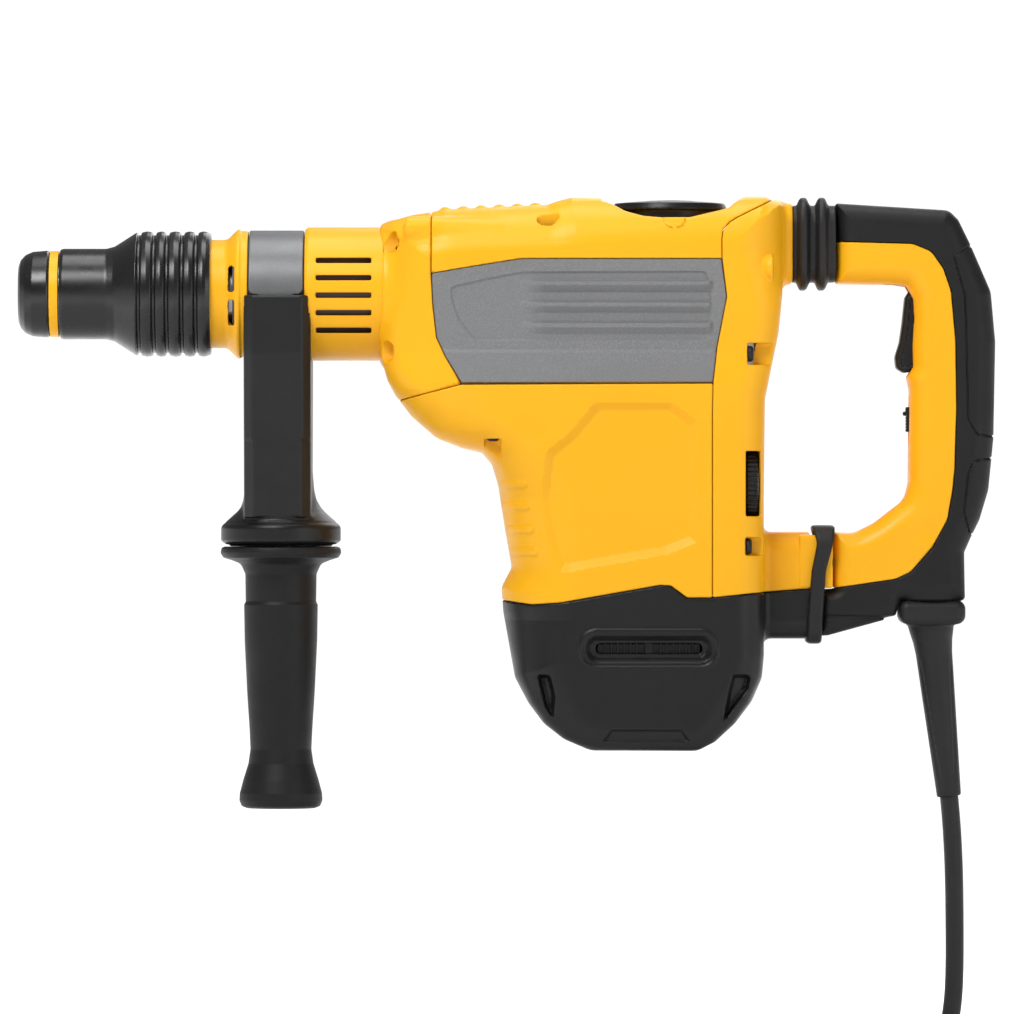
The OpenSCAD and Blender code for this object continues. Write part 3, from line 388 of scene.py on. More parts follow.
def rod(p, q, radius):
    """Distance to the wall of a round bar seen end-on, with its middle at p = q = 0."""
    return np.sqrt(p * p + q * q) - radius


def off_axis(y, z):
    """Distance from the striking axis."""
    return rod(y, z - AXIS_Z, 0)


def facing_out(points, faces, normals):
    """The faces, turned over if they face against the normals."""
    a, b, c = (points[faces[:, k]] for k in range(3))
    facing = (np.cross(b - a, c - a) * normals[faces[:, 0]]).sum(axis=1)
    return faces[:, ::-1] if np.median(facing) < 0 else faces


def finish_mesh(name, points, faces, normals, material, body, replaces=()):
    """A smooth mesh from arrays in millimetres, with four corners to a face."""
    mesh = bpy.data.meshes.new(name)
    mesh.vertices.add(len(points))
    mesh.vertices.foreach_set("co", (points * MM).astype(np.float32).ravel())
    mesh.loops.add(faces.size)
    mesh.loops.foreach_set("vertex_index", faces.astype(np.int32).ravel())
    mesh.polygons.add(len(faces))
    mesh.polygons.foreach_set("loop_start", np.arange(0, faces.size, 4, dtype=np.int32))
    mesh.polygons.foreach_set("use_smooth", np.ones(len(faces), bool))
    mesh.update(calc_edges=True)
    mesh.materials.append(material)
    if normals is not None:
        mesh.normals_split_custom_set_from_vertices(normals.astype(np.float32))
    made = bpy.data.objects.new(name, mesh)
    bpy.context.collection.objects.link(made)
    if body:
        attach(made, body)
    if replaces:
        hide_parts(*replaces)
    return made


# how far apart a field is sampled for its slope
PROBE = 0.06


def sculpt(name, field, low, high, material, body, replaces=(), voxel=0.8):
    """The surface of field(x, y, z) inside a box, as a piece with normals taken from the field."""
    step = voxel * 1
    limit = 3 * step
    low = np.array(low, float) - 2 * step
    counts = np.ceil((np.array(high, float) + 2 * step - low) / step).astype(int)
    axes = [(low[k] + step * np.arange(counts[k])).astype(np.float32) for k in range(3)]
    values = np.broadcast_to(field(*np.ix_(*axes)), counts)
    grid = openvdb.FloatGrid(limit)
    grid.copyFromArray(np.ascontiguousarray(np.clip(values, -limit, limit), dtype=np.float32))
    points, quads = grid.convertToQuads(0.0)
    points = low + np.asarray(points, float) * step

    def sample(p):
        return np.asarray(field(*(c.astype(np.float32) for c in p.T)), float)

    def slope(p, value):
        return np.stack([(sample(p + PROBE * axis) - value) / PROBE for axis in np.eye(3)], axis=1)

    for _ in range(2):
        value = sample(points)
        grad = slope(points, value)
        size = np.maximum((grad ** 2).sum(axis=1), 0.2)
        points -= grad * (np.clip(value, -0.6 * step, 0.6 * step) / size)[:, None]
    grad = slope(points, sample(points))
    normals = grad / np.maximum(np.linalg.norm(grad, axis=1), 1e-6)[:, None]
    quads = facing_out(points, np.asarray(quads, np.int64), normals)
    return finish_mesh(name, points, quads, normals, material, body, replaces)


def lathe(name, profile, material, body, replaces=(), axis="x", centre=(0, 0), steps=144, shape=None):
    """Turns a closed profile of (along, radius[, corner]) points about an axis.
    shape(angle, along, radius) may change the radius."""
    line = np.array(rounded(profile, 0.35, 4))
    ahead = np.roll(line, -1, axis=0) - line
    back = line - np.roll(line, 1, axis=0)
    side = np.stack([ahead[:, 1] + back[:, 1], -(ahead[:, 0] + back[:, 0])], axis=1)
    area = np.sum(line[:, 0] * np.roll(line[:, 1], -1) - np.roll(line[:, 0], -1) * line[:, 1])
    if area < 0:
        side = -side
    side /= np.maximum(np.linalg.norm(side, axis=1), 1e-9)[:, None]
    along = np.tile(line[:, 0], (steps, 1))
    radius = np.tile(line[:, 1], (steps, 1))
    turn = np.tile((np.arange(steps) * 2 * math.pi / steps)[:, None], len(line))
    if shape is not None:
        radius = shape(turn, along, radius)
    out = np.stack([np.cos(turn), np.sin(turn)], axis=-1)
    lift = np.tile(side[:, :1], (steps, 1, 1))
    order = 1 if axis == "x" else -1
    points = np.concatenate([along[..., None], radius[..., None] * out + centre][::order], -1)
    normals = np.concatenate([lift, side[None, :, 1:] * out][::order], -1)
    points, normals = points.reshape(-1, 3), normals.reshape(-1, 3)
    n = len(line)
    i, j = np.meshgrid(np.arange(steps), np.arange(n), indexing="ij")
    i2, j2 = (i + 1) % steps, (j + 1) % n
    faces = np.stack([i * n + j, i2 * n + j, i2 * n + j2, i * n + j2], -1).reshape(-1, 4)
    flat = np.abs(np.roll(line, -1, 0) + line)[:, 1] > 1e-6
    faces = facing_out(points, faces[np.tile(flat, steps)], normals)
    return finish_mesh(name, points, faces, None if shape else normals, material, body, replaces)


# ---------- the cord ----------
CORD_D = 9.0
COIL_LOW, COIL_HIGH = cad("cord_coil")
COIL_X, COIL_Y = (COIL_LOW + COIL_HIGH)[:2] / 2
OUTER_LANE = (COIL_HIGH - COIL_LOW)[0] / 2 - CORD_D / 2
FLOOR_Z = COIL_LOW[Z]
PLUG_LOW, PLUG_HIGH = cad("power_plug")
HANG = [(-0.5, 0, -186.1), (0.5, 0, -196), (1.4, 0, -210), (2, 0, -226), (2.2, 0, -244),
        (2.3, 0, -264), (2, 0, -280), (0.6, 0, -294), (-2.6, 0, -306), (-8.4, 0, -317),
        (-17, 0, -325), (-28, 0, -329), (-46, 0, -330), (-70, 0, -330), (-94, 0, -330)]
TAIL = [(-78, 21.5), (-66, 18), (-54, 13.5), (-48, 12.2), (-40, 12)]
LANES = 4
LAYERS = 3
TOP_LANES = 2
STEPS_PER_TURN = 36


def coil_points():
    """Turns laid lane by lane inwards and outwards, one layer on the other, clockwise from above."""
    spots = []
    for layer in range(LAYERS):
        order = range(LANES) if layer % 2 == 0 else range(LANES - 1, -1, -1)
        spots += [(lane, layer) for lane in order]
    spots = spots[:TOP_LANES - LANES] + [(0, LAYERS - 1)]
    points = []
    turns = len(spots) - 1
    total = turns * STEPS_PER_TURN + STEPS_PER_TURN // 2
    for k in range(1, total + 1):
        turn = min(k / STEPS_PER_TURN, turns)
        spot = min(int(turn), turns - 1)
        part = turn - spot
        # a turn passes to the next lane over its last three tenths
        glide = smooth((part - 0.7) / 0.3)
        (lane_a, layer_a), (lane_b, layer_b) = spots[spot], spots[spot + 1]
        lane = lane_a + (lane_b - lane_a) * glide
        layer = layer_a + (layer_b - layer_a) * glide
        radius = OUTER_LANE - lane * CORD_D
        angle = -math.pi / 2 - 2 * math.pi * k / STEPS_PER_TURN
        points.append((COIL_X + radius * math.cos(angle), COIL_Y + radius * math.sin(angle),
                       FLOOR_Z + CORD_D * (layer + 0.5)))
    return points


def build_cord():
    route = HANG + coil_points()
    route += [(x, COIL_Y + OUTER_LANE, FLOOR_Z + lift) for x, lift in TAIL]
    data = bpy.data.curves.new("power_cord_whole", "CURVE")
    data.dimensions = "3D"
    data.bevel_depth = CORD_D / 2 * MM
    data.bevel_resolution = 6
    data.resolution_u = 3
    spline = data.splines.new("NURBS")
    spline.points.add(len(route) - 1)
    for point, (x, y, z) in zip(spline.points, route):
        point.co = (x * MM, y * MM, z * MM, 1)
    spline.order_u = 4
    spline.use_endpoint_u = True
    data.use_fill_caps = True
    data.materials.append(CORD)
    made = bpy.data.objects.new("power_cord_whole", data)
    bpy.context.collection.objects.link(made)
    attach(made, "rear_handle")
    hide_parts("power_cord", "cord_coil")
    length = sum(math.dist(a, b) for a, b in zip(route, route[1:])) * MM
    return made, length


cord, cord_length = build_cord()


def build_tie():
    low, high = cad("cord_tie")
    mid_x, mid_y, mid_z = (low + high) / 2 - (0, 0, 0.4)
    half_x, half_y, half_z = (high - low) / 2 + (0, 0, 0.4)

    def field(x, y, z):
        ring = rounded_pair(x - mid_x, z - mid_z, half_x - 0.3, half_z - 0.7, 4.5)
        hollow = rounded_pair(x - mid_x, z - mid_z, half_x - 1.8, half_z - 2.2, 3.2)
        band = meet(cut(ring, hollow, 0.3), span(y, mid_y - half_y, mid_y + half_y), 0.4)
        buckle = box_field(x, y, z, (mid_x - 6, mid_y - half_y - 0.2, high[Z] - 2.2),
                           (mid_x + 6, mid_y + half_y + 0.2, high[Z] + 1.4), 0.9)
        return join(band, buckle, 0.5)

    return sculpt("cord_tie_band", field, low - 2, high + 3, BLACK_SOFT, "rear_handle",
                  ["cord_tie"], 0.7)


def build_plug():
    x0, x1 = PLUG_LOW[X], PLUG_HIGH[X]
    y_mid = (PLUG_LOW[Y] + PLUG_HIGH[Y]) / 2
    z_mid = FLOOR_Z + 12
    face = x1 - 19

    def field(x, y, z):
        y, z = y - y_mid, z - z_mid
        t = np.clip((x - x0) / (face - 5 - x0), 0, 1)
        body = np.maximum(rounded_pair(y, z, 7.5 + 4.8 * t ** 0.6, 6.2 + 5 * t ** 0.6, 5),
                          span(x, x0, face - 1))
        for k in range(5):
            groove = rod(np.abs(y) - 13.4, x - x0 - 14 - 3.2 * k, 1.5)
            body = cut(body, groove, 0.5)
        flange = meet(rounded_pair(y, z, 15.2, 11.9, 6), span(x, face - 5, face), 0.8)
        whole = join(body, flange, 1.2)
        return meet(whole, -z - 11.9, 0.6)

    body = sculpt("power_plug_body", field, (x0, PLUG_LOW[Y] - 2, FLOOR_Z),
                  (face, PLUG_HIGH[Y] + 2, FLOOR_Z + 26), BLACK_SOFT, "rear_handle",
                  ["power_plug"])
    pin = [(face - 1, 0), (face - 1, 2.4), (x1 - 0.6, 2.4, 1.2), (x1, 1.2), (x1, 0)]
    pins = [lathe(f"plug_pin_{k}", pin, BRASS, "rear_handle", centre=(y_mid + side, z_mid), steps=40)
            for k, side in ((1, -6.35), (2, 6.35))]
    return [body] + pins


plug_pieces = build_plug()
tie_piece = build_tie()


# ---------- front end: tool holder, collar and barrel ----------
def build_front_end():
    across = (0, AXIS_Z)
    cap = [(NOSE_X, 9.7), (NOSE_X, 14), (NOSE_X + 1, 16.6, 2), (NOSE_X + 3.2, 19, 3), (NOSE_X + 6.8, 20.6, 4),
           (CAP_END - 1, 21.2), (CAP_END, 20.6, 0.6), (CAP_END, 15.1), (CAP_END - 9.6, 15.1),
           (CAP_END - 9.6, 9.7)]
    lathe("nose_cap_rubber", cap, BLACK_GLOSS, "spindle", ["nose_cap"], centre=across)
    start, end = CAP_END + 0.3, RING_END - 0.4
    lathe("accent_ring_band", [(start, 15.1), (start, 21), (end, 21), (end, 15.1)],
          YELLOW, "spindle", ["accent_ring"], centre=across)
    start = RING_END + 0.2
    grooves = [-395.3, -388, -381.6, -374.3, -367.5]
    profile = [(start, 15.1), (start, 21.6, 0.8), (start + 1.6, 22.1, 1), (-411.5, 22.1, 6),
               (-407.5, 23.2, 5), (-398.6, 28.9, 2)]
    for groove, after in zip(grooves, grooves[1:] + [SLEEVE_END - 0.5]):
        profile += [(groove - 1.3, 30.2, 0.9), (groove - 0.5, 28.7, 0.4), (groove + 0.5, 28.7, 0.4),
                    (groove + 1.2, 30.1, 0.9), ((groove + after) / 2, 30.6, 3)]
    profile += [(SLEEVE_END - 2, 30.3, 1), (SLEEVE_END, 29.4, 0.6), (SLEEVE_END, 27.5), (-395.5, 27.5),
                (-402, 20.1), (-404, 20.1), (-404, 15.9), (-406, 15.9), (-406, 17.7), (-429, 17.7),
                (-429, 15.1)]
    lathe("lock_sleeve_rubber", profile, BLACK_GLOSS, "lock_sleeve", ["lock_sleeve"],
          centre=across)
    collar_line = rounded([(-384, 24.3), (-384, 26.4), (-352.6, 26.4, 4), (-348.8, 30.2, 2),
                           (-347.6, 31.4, 0.8), (-346.2, 31.4, 0.5), (-345.4, 30.7, 0.4),
                           (COLLAR_END, 30.7, 0.8), (COLLAR_END, 28.5), (-349.6, 28.5), (-349.6, 24.3)], 0.3)

    def collar(x, y, z):
        ring = outline(x, off_axis(y, z), collar_line)
        for drain_z in (AXIS_Z + 6.6, AXIS_Z - 9.6):
            slit = box_field(x, np.abs(y), z, (-351.5, 20, drain_z - 6.2), (-348.6, 40, drain_z + 6.2), 1)
            ring = cut(ring, slit, 0.4)
        return ring

    sculpt("front_collar_casting", collar, (-384, -32, AXIS_Z - 32), (COLLAR_END, 32, AXIS_Z + 32),
           YELLOW, "housing", ["front_collar"])
    sleeve_end = cad("barrel_sleeve")[1][X]
    sleeve_line = rounded([(SEAT_X, 28.5), (SEAT_X, BARREL_R - 1), (SEAT_X + 1.6, BARREL_R, 1.6),
                           (sleeve_end, BARREL_R), (sleeve_end, 28.5)], 0.4)

    def barrel(x, y, z):
        ring = outline(x, off_axis(y, z), sleeve_line)
        for k in range(-2, 3):
            slit = box_field(x, np.abs(y), z, (-309, 10, AXIS_Z - 1.2 + 8.45 * k - 1.3),
                             (-282, 40, AXIS_Z - 1.2 + 8.45 * k + 1.3), 0.7)
            ring = cut(ring, slit, 0.4)
        return ring

    sculpt("barrel_sleeve_casting", barrel, (SEAT_X, -BARREL_R, AXIS_Z - BARREL_R),
           (sleeve_end, BARREL_R, AXIS_Z + BARREL_R), YELLOW, "housing", ["barrel_sleeve"])


# ---------- side handle ----------
BRACKET = rounded([(-36, 57.8, 1.5), (36, 57.8, 1.5), (35, 30, 20), (29, -20, 20), (26, -50), (-26, -50),
                   (-29, -20, 20), (-35, 30, 20)], 2)


def build_side_handle():
    band_low, band_high = COLLAR_END + 0.5, SEAT_X - 0.5
    band_x = (band_low + band_high) / 2
    half = (band_high - band_low) / 2

    def band(x, y, z):
        ring = np.maximum(off_axis(y, z) - 31, 28.7 - off_axis(y, z))
        plate = rounded_pair(x - band_x, z - 107.9, half, 50, 3.5)
        tongue = np.maximum(np.abs(x - band_x) - half + 4.5, z - 60)
        return meet(ring, np.minimum(plate, tongue), 0.5)

    sculpt("clamp_band_steel", band, (band_low, -31, AXIS_Z - 31), (band_high, 31, AXIS_Z + 31), BAND,
           "side_handle", ["clamp_band"])
    front, back = -344, -311.4

    def bracket(x, y, z):
        post = meet(outline(y, z, BRACKET), span(x, front, back), 0.5)
        step = np.clip((z + 13) / 1.5, 0, 1) * 0.6
        bevel = (np.abs(x - (front + back) / 2) + np.abs(y)
                 - ((back - front) / 2 + np.interp(z, [-50, -20, 30, 58], [26, 29, 35, 36]) - 4.2)) / 1.414
        post = meet(post, bevel + 0.6 - step, 0.8)
        around = rod(x - GRIP_X, y, 0)
        skirt = np.maximum(around - FLANGE_R + 0.3, span(z, -63.2, -45))
        skirt = meet(skirt, (around + 1.2 * (z + 54.3) - FLANGE_R + 0.3) / 1.562, 1)
        skirt = meet(skirt, (around - 1.4 * (z + 61.4) - FLANGE_R + 0.3) / 1.72, 0.6)
        flare = around - np.interp(z, [-52, -47.2, -44.7, -41.5, -36.6, -31, -25, -16],
                                   [26, 21, 19.3, 17.4, 15.6, 14.5, 13.4, 12])
        flare = meet(flare / 1.2, span(z, -52, -16), 0.5)
        washer = meet(around - 25, span(z, -64.05, -60), 0.3)
        whole = join(join(join(post, flare, 3), skirt, 1.2), washer, 0.3)
        bore = off_axis(y, z)
        whole = cut(whole, np.maximum(bore - 31.25, x - SEAT_X + 0.1), 0.3)
        whole = cut(whole, np.maximum(bore - 32.9, SEAT_X - 0.3 - x), 0.3)
        return cut(whole, np.maximum(around - 5.4, span(z, -70, 40)), 0.3)

    sculpt("handle_bracket_moulding", bracket, (GRIP_X - FLANGE_R, -37, -64.3), (GRIP_X + FLANGE_R, 37, 58.5),
           BLACK, "side_handle", ["handle_bracket"])
    top = cad("side_grip")[1][Z]
    grip = [(top, 12.1), (top, 27.5), (top - 0.6, 29, 1.4), (top - 3.2, FLANGE_R, 2.2), (top - 5.4, 28, 1.6),
            (top - 6.6, 24, 3), (-72.6, 19.6, 4), (-77.5, 17.4, 4), (-91, 17.2, 2), (-92.6, 18, 1.2),
            (-110, 17.7, 6), (-135, 16.5, 10), (-154, 15.3, 10), (-163, 14.9, 8), (-170, 15.9, 8),
            (-178, 18.4, 6), (-184.5, 20.1, 4), (-188, 20.3, 2.5), (-190.8, 19.2, 2), (GRIP_BOTTOM, 16.5, 2),
            (GRIP_BOTTOM, 0), (-152.05, 0), (-152.05, 10), (-150, 12.1)]
    lathe("side_grip_rubber", grip, BLACK_SOFT, "side_grip", ["side_grip"], axis="z",
          centre=(GRIP_X, 0))


# ---------- housing: one outer form, divided at its seams ----------
SILHOUETTE = rounded([
    (-277, 26.4, 8), (-274.3, 16.6, 10), (-270.4, 9.3, 10), (-262.5, -1, 14), (-250.8, -11.2, 16),
    (-238, -16.2, 12), (-228.5, -18.4, 4), (-223.5, -24.4, 6), (-220.6, -34, 20), (-217, -57, 12),
    (-213.9, -74.5, 5), (-218.9, -84, 6), (-218, -96, 12), (-212.3, -127.7, 8), (-205.8, -139.9, 14),
    (-198.5, -149.7, 14), (-188.7, -157.3, 14), (-175.7, -162.8, 12), (-124, -163, 10), (-115.5, -158.6, 8),
    (-105.7, -149.7, 14), (-97.6, -139, 14), (-92.7, -127.7, 10), (-91.7, -117, 8), (-91.7, -41, 20),
    (-91.2, 7, 20), (-88.4, 21, 20), (-84.6, 39, 20), (-82.6, 58, 6), (-82.6, 103, 3), (-88, 104, 3),
    (-90.5, 105.9, 1), (-103.5, 105.9, 2), (-110, 105.4, 6), (-185, 105.4, 4), (-192, 103.6, 4),
    (-196.5, 102, 4), (-247, 99.6, 3), (-252.8, 98.4, 4), (-262, 97.1, 10), (-273, 94.2, 6),
    (-277, 91, 3)], 2)
# the flanks widen from the crease down to the belt
CREASE_Z, BELT_Z = 30.0, 14.6


def half_width(x, z):
    """Half the housing's width: wider under the crease, drawn in at the front and the chin."""
    front = 11.4 * (1 - np.clip((x + 277) / 42, 0, 1)) ** 3
    flank = np.clip((CREASE_Z - z) / (CREASE_Z - BELT_Z), 0, 1)
    chin = 3 * np.clip((-221 - x) / 30, 0, 1) * np.clip((12 - z) / 14, 0, 1)
    return 45 + 2 * flank - front - chin


def edge_radius(x, z):
    """How round the edges between the flanks and the outline are."""
    front = np.interp(z, [-160, -135, -100, -40, -20, -8, 8, 20, 45, 68, 84],
                      [8, 20, 34, 36, 26, 20, 16, 10, 8, 20, 26])
    rear = np.interp(z, [-160, -140, -90, 50, 78], [8, 14, 15, 14, 24])
    t = smooth((x + 190) / 60)
    return (front * (1 - t) + rear * t).astype(np.float32)


FLANK_PANEL = rounded([(-173.7, 5.9, 3), (-136.2, 5.9, 3), (-124, -3.4, 3), (-124, -62, 3),
                       (-138.6, -67.8, 3), (-190.6, -77.1, 3), (-197, -62, 20), (-200, -41, 20),
                       (-197.5, -18, 8), (-186, -9, 10)])
INTAKE = rounded([(-202.2, -125.5, 2), (-195, -125.5, 3), (-192.4, -136, 6), (-193.4, -149.5, 2),
                  (-198.6, -141, 4)])
REAR_INTAKE = rounded([(-107.4, -125.5, 2), (-97.6, -125.5, 3), (-99, -133, 6), (-109.6, -147.5, 2),
                       (-112.4, -149, 1), (-110, -136, 6)])
FOOT_RECESS = rounded([(-166, -152, 1), (-131.5, -152, 1), (-126.5, -159, 1), (-171, -159, 1)])
GRIP_RIBS = [(-206, -31.6, -36.4), (-204.5, -42.3, -47.1), (-202.8, -53.4, -58.3), (-200.8, -64, -69.4)]
VENT_X = -147.6
VENT_Z = -113.4


def relief(x, z):
    """Depth of the shallow shapes on the flanks; positive goes inwards."""
    deep = 2.8 * np.clip(-outline(x, z, FLANK_PANEL) / 4.2, 0, 1)
    for rear, top, bottom in GRIP_RIBS:
        bar = rounded_pair(x - rear + 9, z - (top + bottom) / 2, 9, (top - bottom) / 2, 2.2)
        deep = deep - 1.1 * ramp_in(bar, 1.3)
    rim = rounded_pair(x - VENT_X, z - VENT_Z, 33.2, 9, 8.6)
    deep = deep - 0.8 * ramp_in(np.abs(rim) - 1.0, 1.3)
    deep = deep + 2.8 * np.clip(-(rim + 2.4) / 2.6, 0, 1)
    deep = deep + 4.6 * ramp_in(outline(x, z, INTAKE), 2.2)
    deep = deep + 4.6 * ramp_in(outline(x, z, REAR_INTAKE), 2.2)
    return deep + 1.6 * ramp_in(outline(x, z, FOOT_RECESS), 1.8)


TOP_RIBS = [-246, -237.3, -228.6, -219.8, -211, -202.2]
SCREW_POCKETS = [(-100.0, -80.0, 23.9, 34.4), (-101.0, -80.0, -68.4, -59.6)]
SCREW_Y = 41.4
# where the front cover's screws are: Y on either side, and Z
FRONT_UPPER = (27.5, 83.4)
FRONT_LOWER = (32, 30.2)
DISH = rounded([(-36, 118), (-33.4, 104.1, 2), (-27.7, 101.7, 8), (-22, 98.4, 12), (-13.1, 96, 12),
                (-3.3, 95.2, 12), (8.9, 95.3, 12), (23.5, 98.8, 8), (28.4, 100.2, 4), (30.9, 102.5, 2),
                (36, 106), (36, 118)])


def body_form(x, y, z):
    """The whole outer form before its pockets are cut."""
    ay = np.abs(y)
    flank = half_width(x, z) - relief(x, z)
    trunk = meet(outline(x, z, SILHOUETTE), ay - flank, edge_radius(x, z))
    neck = meet(rounded_pair(y, z - ISOLATOR_Z, 18, 19.4, 9), span(x, -104, NECK_X), 1.2)
    trunk = join(trunk, neck, 5)
    arm_end = np.where(z < -84.6, -66.3, -69.2)
    arm = meet(rounded_pair(y, z + 83, 17.5, 26, 9), span(x, -104, arm_end), 0.8)
    trunk = join(trunk, arm, 4)
    hub = meet(off_axis(y, z) - 33.2, span(x, -276.6, -240), 1)
    trunk = join(trunk, hub, 5)
    for x_rib in TOP_RIBS:
        crest = np.interp(x_rib, [-252.8, -247, -196.5], [98.4, 99.6, 102.0])
        bar = np.sqrt((x - x_rib) ** 2 + (z - crest + 2.6) ** 2 + np.maximum(ay - 15, 0) ** 2) - 4
        trunk = join(trunk, bar, 0.8)
    ridge = box_field(x, ay, z, (-194, -1, 98), (-180.5, 12, 103.2), 2)
    button = box_field(x, ay, z, (-183.6, -1, 98), (-170, 12, 104.9), 2.2)
    trunk = join(join(trunk, ridge, 1.2), button, 1.2)
    t = np.clip((x + 253) / 36, 0, 1)
    boss = rod(ay - 34.4, z - 89.8 + 1.2 * t, 6.2 - 1.6 * t)
    boss = meet(boss, span(x, -266, -218), 2.5)
    trunk = join(trunk, boss, 2.5)
    dome = meet(np.sqrt((x + 87.6) ** 2 + (ay - 37.8) ** 2 + (z - 71) ** 2) - 6.4, x + 87.5, 0.6)
    trunk = join(trunk, dome, 0.8)
    pointer = meet(rod(x + 135.2, z - 95.4, 5.4), z - 95.2, 0.8)
    pointer = meet(pointer, trunk - 0.9, 0.4)
    trunk = cut(trunk, outline(x - DIAL_X, z, DISH), 1)
    return join(trunk, pointer, 0.5)


def recesses(x, y, z, form):
    """Cuts the deep pockets into the outer form."""
    ay, whole = np.abs(y), form
    upper = meet(rod(ay - FRONT_UPPER[0], z - FRONT_UPPER[1], 5.2), span(x, -290, -269.6), 0.6)
    lower = meet(rod(ay - FRONT_LOWER[0], z - FRONT_LOWER[1], 5.2), span(x, -290, -271), 0.6)
    upper_seat = meet(rod(ay - FRONT_UPPER[0], z - FRONT_UPPER[1], 4.2), span(x, -270, -265.6), 0.3)
    lower_seat = meet(rod(ay - FRONT_LOWER[0], z - FRONT_LOWER[1], 3.8), span(x, -274, -266.4), 0.3)
    whole = cut(cut(whole, upper, 0.6), lower, 0.6)
    whole = cut(cut(whole, upper_seat, 0.3), lower_seat, 0.3)
    eye = rod(x + 196.3, (ay - 36.9) * 1.9, 5.3)
    whole = cut(whole, meet(eye / 1.3, span(z, 86, 120), 1), 0.5)
    for x0, x1, z0, z1 in SCREW_POCKETS:
        whole = cut(whole, box_field(x, ay, z, (x0, 36.8, z0), (x1, 60, z1), 0.8), 0.5)
    notch = box_field(x, ay, z, (-227.2, 34, -40), (-219, 60, -11.8), 0.8)
    whole = cut(whole, meet(notch, -(form + 5.6), 0.4), 0.5)
    window = box_field(x, y, z, (-100.8, -60, -49.4), (-94, -30, -17.8), 0.7)
    whole = cut(whole, window, 0.4)
    dial = meet(rod(x - DIAL_X, y, 0) - DIAL_R - 0.7, span(z, 95.2, 120), 0.4)
    whole = cut(whole, dial, 0.5)
    slot = rounded_pair(x - VENT_X, z - VENT_Z, 25.8, 2.5, 2.4)
    return cut(whole, meet(slot, span(ay, 39.5, 60), 0.4), 0.4)


FRONT_SEAM = [(-252.9, 68.8), (-252.2, 54), (-250.3, 37), (-246, 27.8), (-238.1, 14.4)]
CHIN_SEAM = [FRONT_SEAM[-1], (-268.4, 6.8), (-300, -1)]
BELT_SEAM = [FRONT_SEAM[-1], (-116.6, 14.9)]
REAR_SEAM = [(-84, 106), (-91.3, 102), (-103.5, 95.9), (-108.4, 93), (-111.6, 89.2), (-112.3, 85),
             (-112.2, 75.6), (-109.9, 56.8), (-114.7, 32.2),
             (-116.6, 14.9), (-116.9, 0), (-116.9, -88.8)]
CAP_SEAM = [(-300, -88.3), (-230, -88.5), (-218, -90.3), (-204, -92.2), (-190.6, -91.3), (-142, -82.7),
            (-137, -83), (-129.3, -88.8), (-116.9, -88.8), (-97.6, -86.7), (-73.2, -84.9), (-50, -84)]
REGIONS = {
    "front_cover": [(-300, 130), (-252.9, 130)] + FRONT_SEAM + CHIN_SEAM[1:],
    "gear_cover": [(-252.9, 130)] + FRONT_SEAM + [BELT_SEAM[1]] + REAR_SEAM[8::-1] + [(-84, 130)],
    "motor_housing": CHIN_SEAM[::-1] + [BELT_SEAM[1]] + REAR_SEAM[10:] + CAP_SEAM[7::-1],
    "motor_cap": CAP_SEAM + [(-50, -190), (-300, -190)],
    "rear_cover": [(-84, 130)] + REAR_SEAM + CAP_SEAM[9:] + [(-50, 130)],
}
PANEL = rounded([(-252.8, 68.3, 1.5), (-232, 71.8, 30), (-209.4, 75.4, 24), (-112.5, 75.4, 1),
                 (-109.9, 56.8, 8), (-114.7, 32.2, 8), (-116.6, 15.2, 1), (-238.2, 15.2, 0.5)]
                + [(x, z, 0.5) for x, z in FRONT_SEAM[3:0:-1]])
PANEL_FIELD = rounded([(-244, 61.8, 3), (-226, 66, 30), (-209, 69.2, 20), (-119.5, 69.5, 3),
                       (-116.4, 52.5, 8), (-120.4, 35.8, 3), (-232, 35.3, 5), (-240.4, 46, 10),
                       (-243.4, 55, 8)], 2)
PANEL_RIBS = [(65, 60), (54.9, 49.8), (44.9, 39.8)]
# half the gap at a seam
GAP = 0.15
# the thickness of the shells
WALL, GEAR_COVER_WALL = 7.2, 5.4
# the depths of the grey panels' pockets and of the panels' own backs, under the outer form
POCKET, PANEL_BACK = 3.4, 3.3
# where each shell's rear edge lies, if it isn't at its own node's end
REAR_ENDS = {"front_cover": -236, "gear_cover": -82, "motor_housing": -115}
HOUSING_CHIN = -275
# the rear handle's pivot pin and the trigger's pin, in X and Z
PIVOT_X, PIVOT_Z = -62, -72
PIN_X, PIN_Z = -15.4, 57


def panel_relief(x, z):
    """Depth of the grey panels' field and step, and the rise of their ribs."""
    deep = 1.0 * ramp_in(outline(x, z, PANEL_FIELD), 1.2)
    fade = np.clip((x + 210) / 12, 0, 1) * np.clip((-116.4 - x) / 2, 0, 1)
    for top, bottom in PANEL_RIBS:
        rise = np.clip((top - z) / 1.0, 0, 1) * np.clip((z - bottom + 1) / 3.4, 0, 1)
        deep = deep - 3.0 * fade * rise
    line = np.interp(x, [-206, -190, -172, -165, -110], [14.6, 19.5, 23.4, 23.9, 23.9])
    wedge = 2 / (CREASE_Z - BELT_Z) * np.clip(line - z, 0, 20)
    step = 0.8 * np.clip((z - CREASE_Z) / 1.6, 0, 1)
    return deep + step + wedge * np.clip((x + 212) / 12, 0, 1)


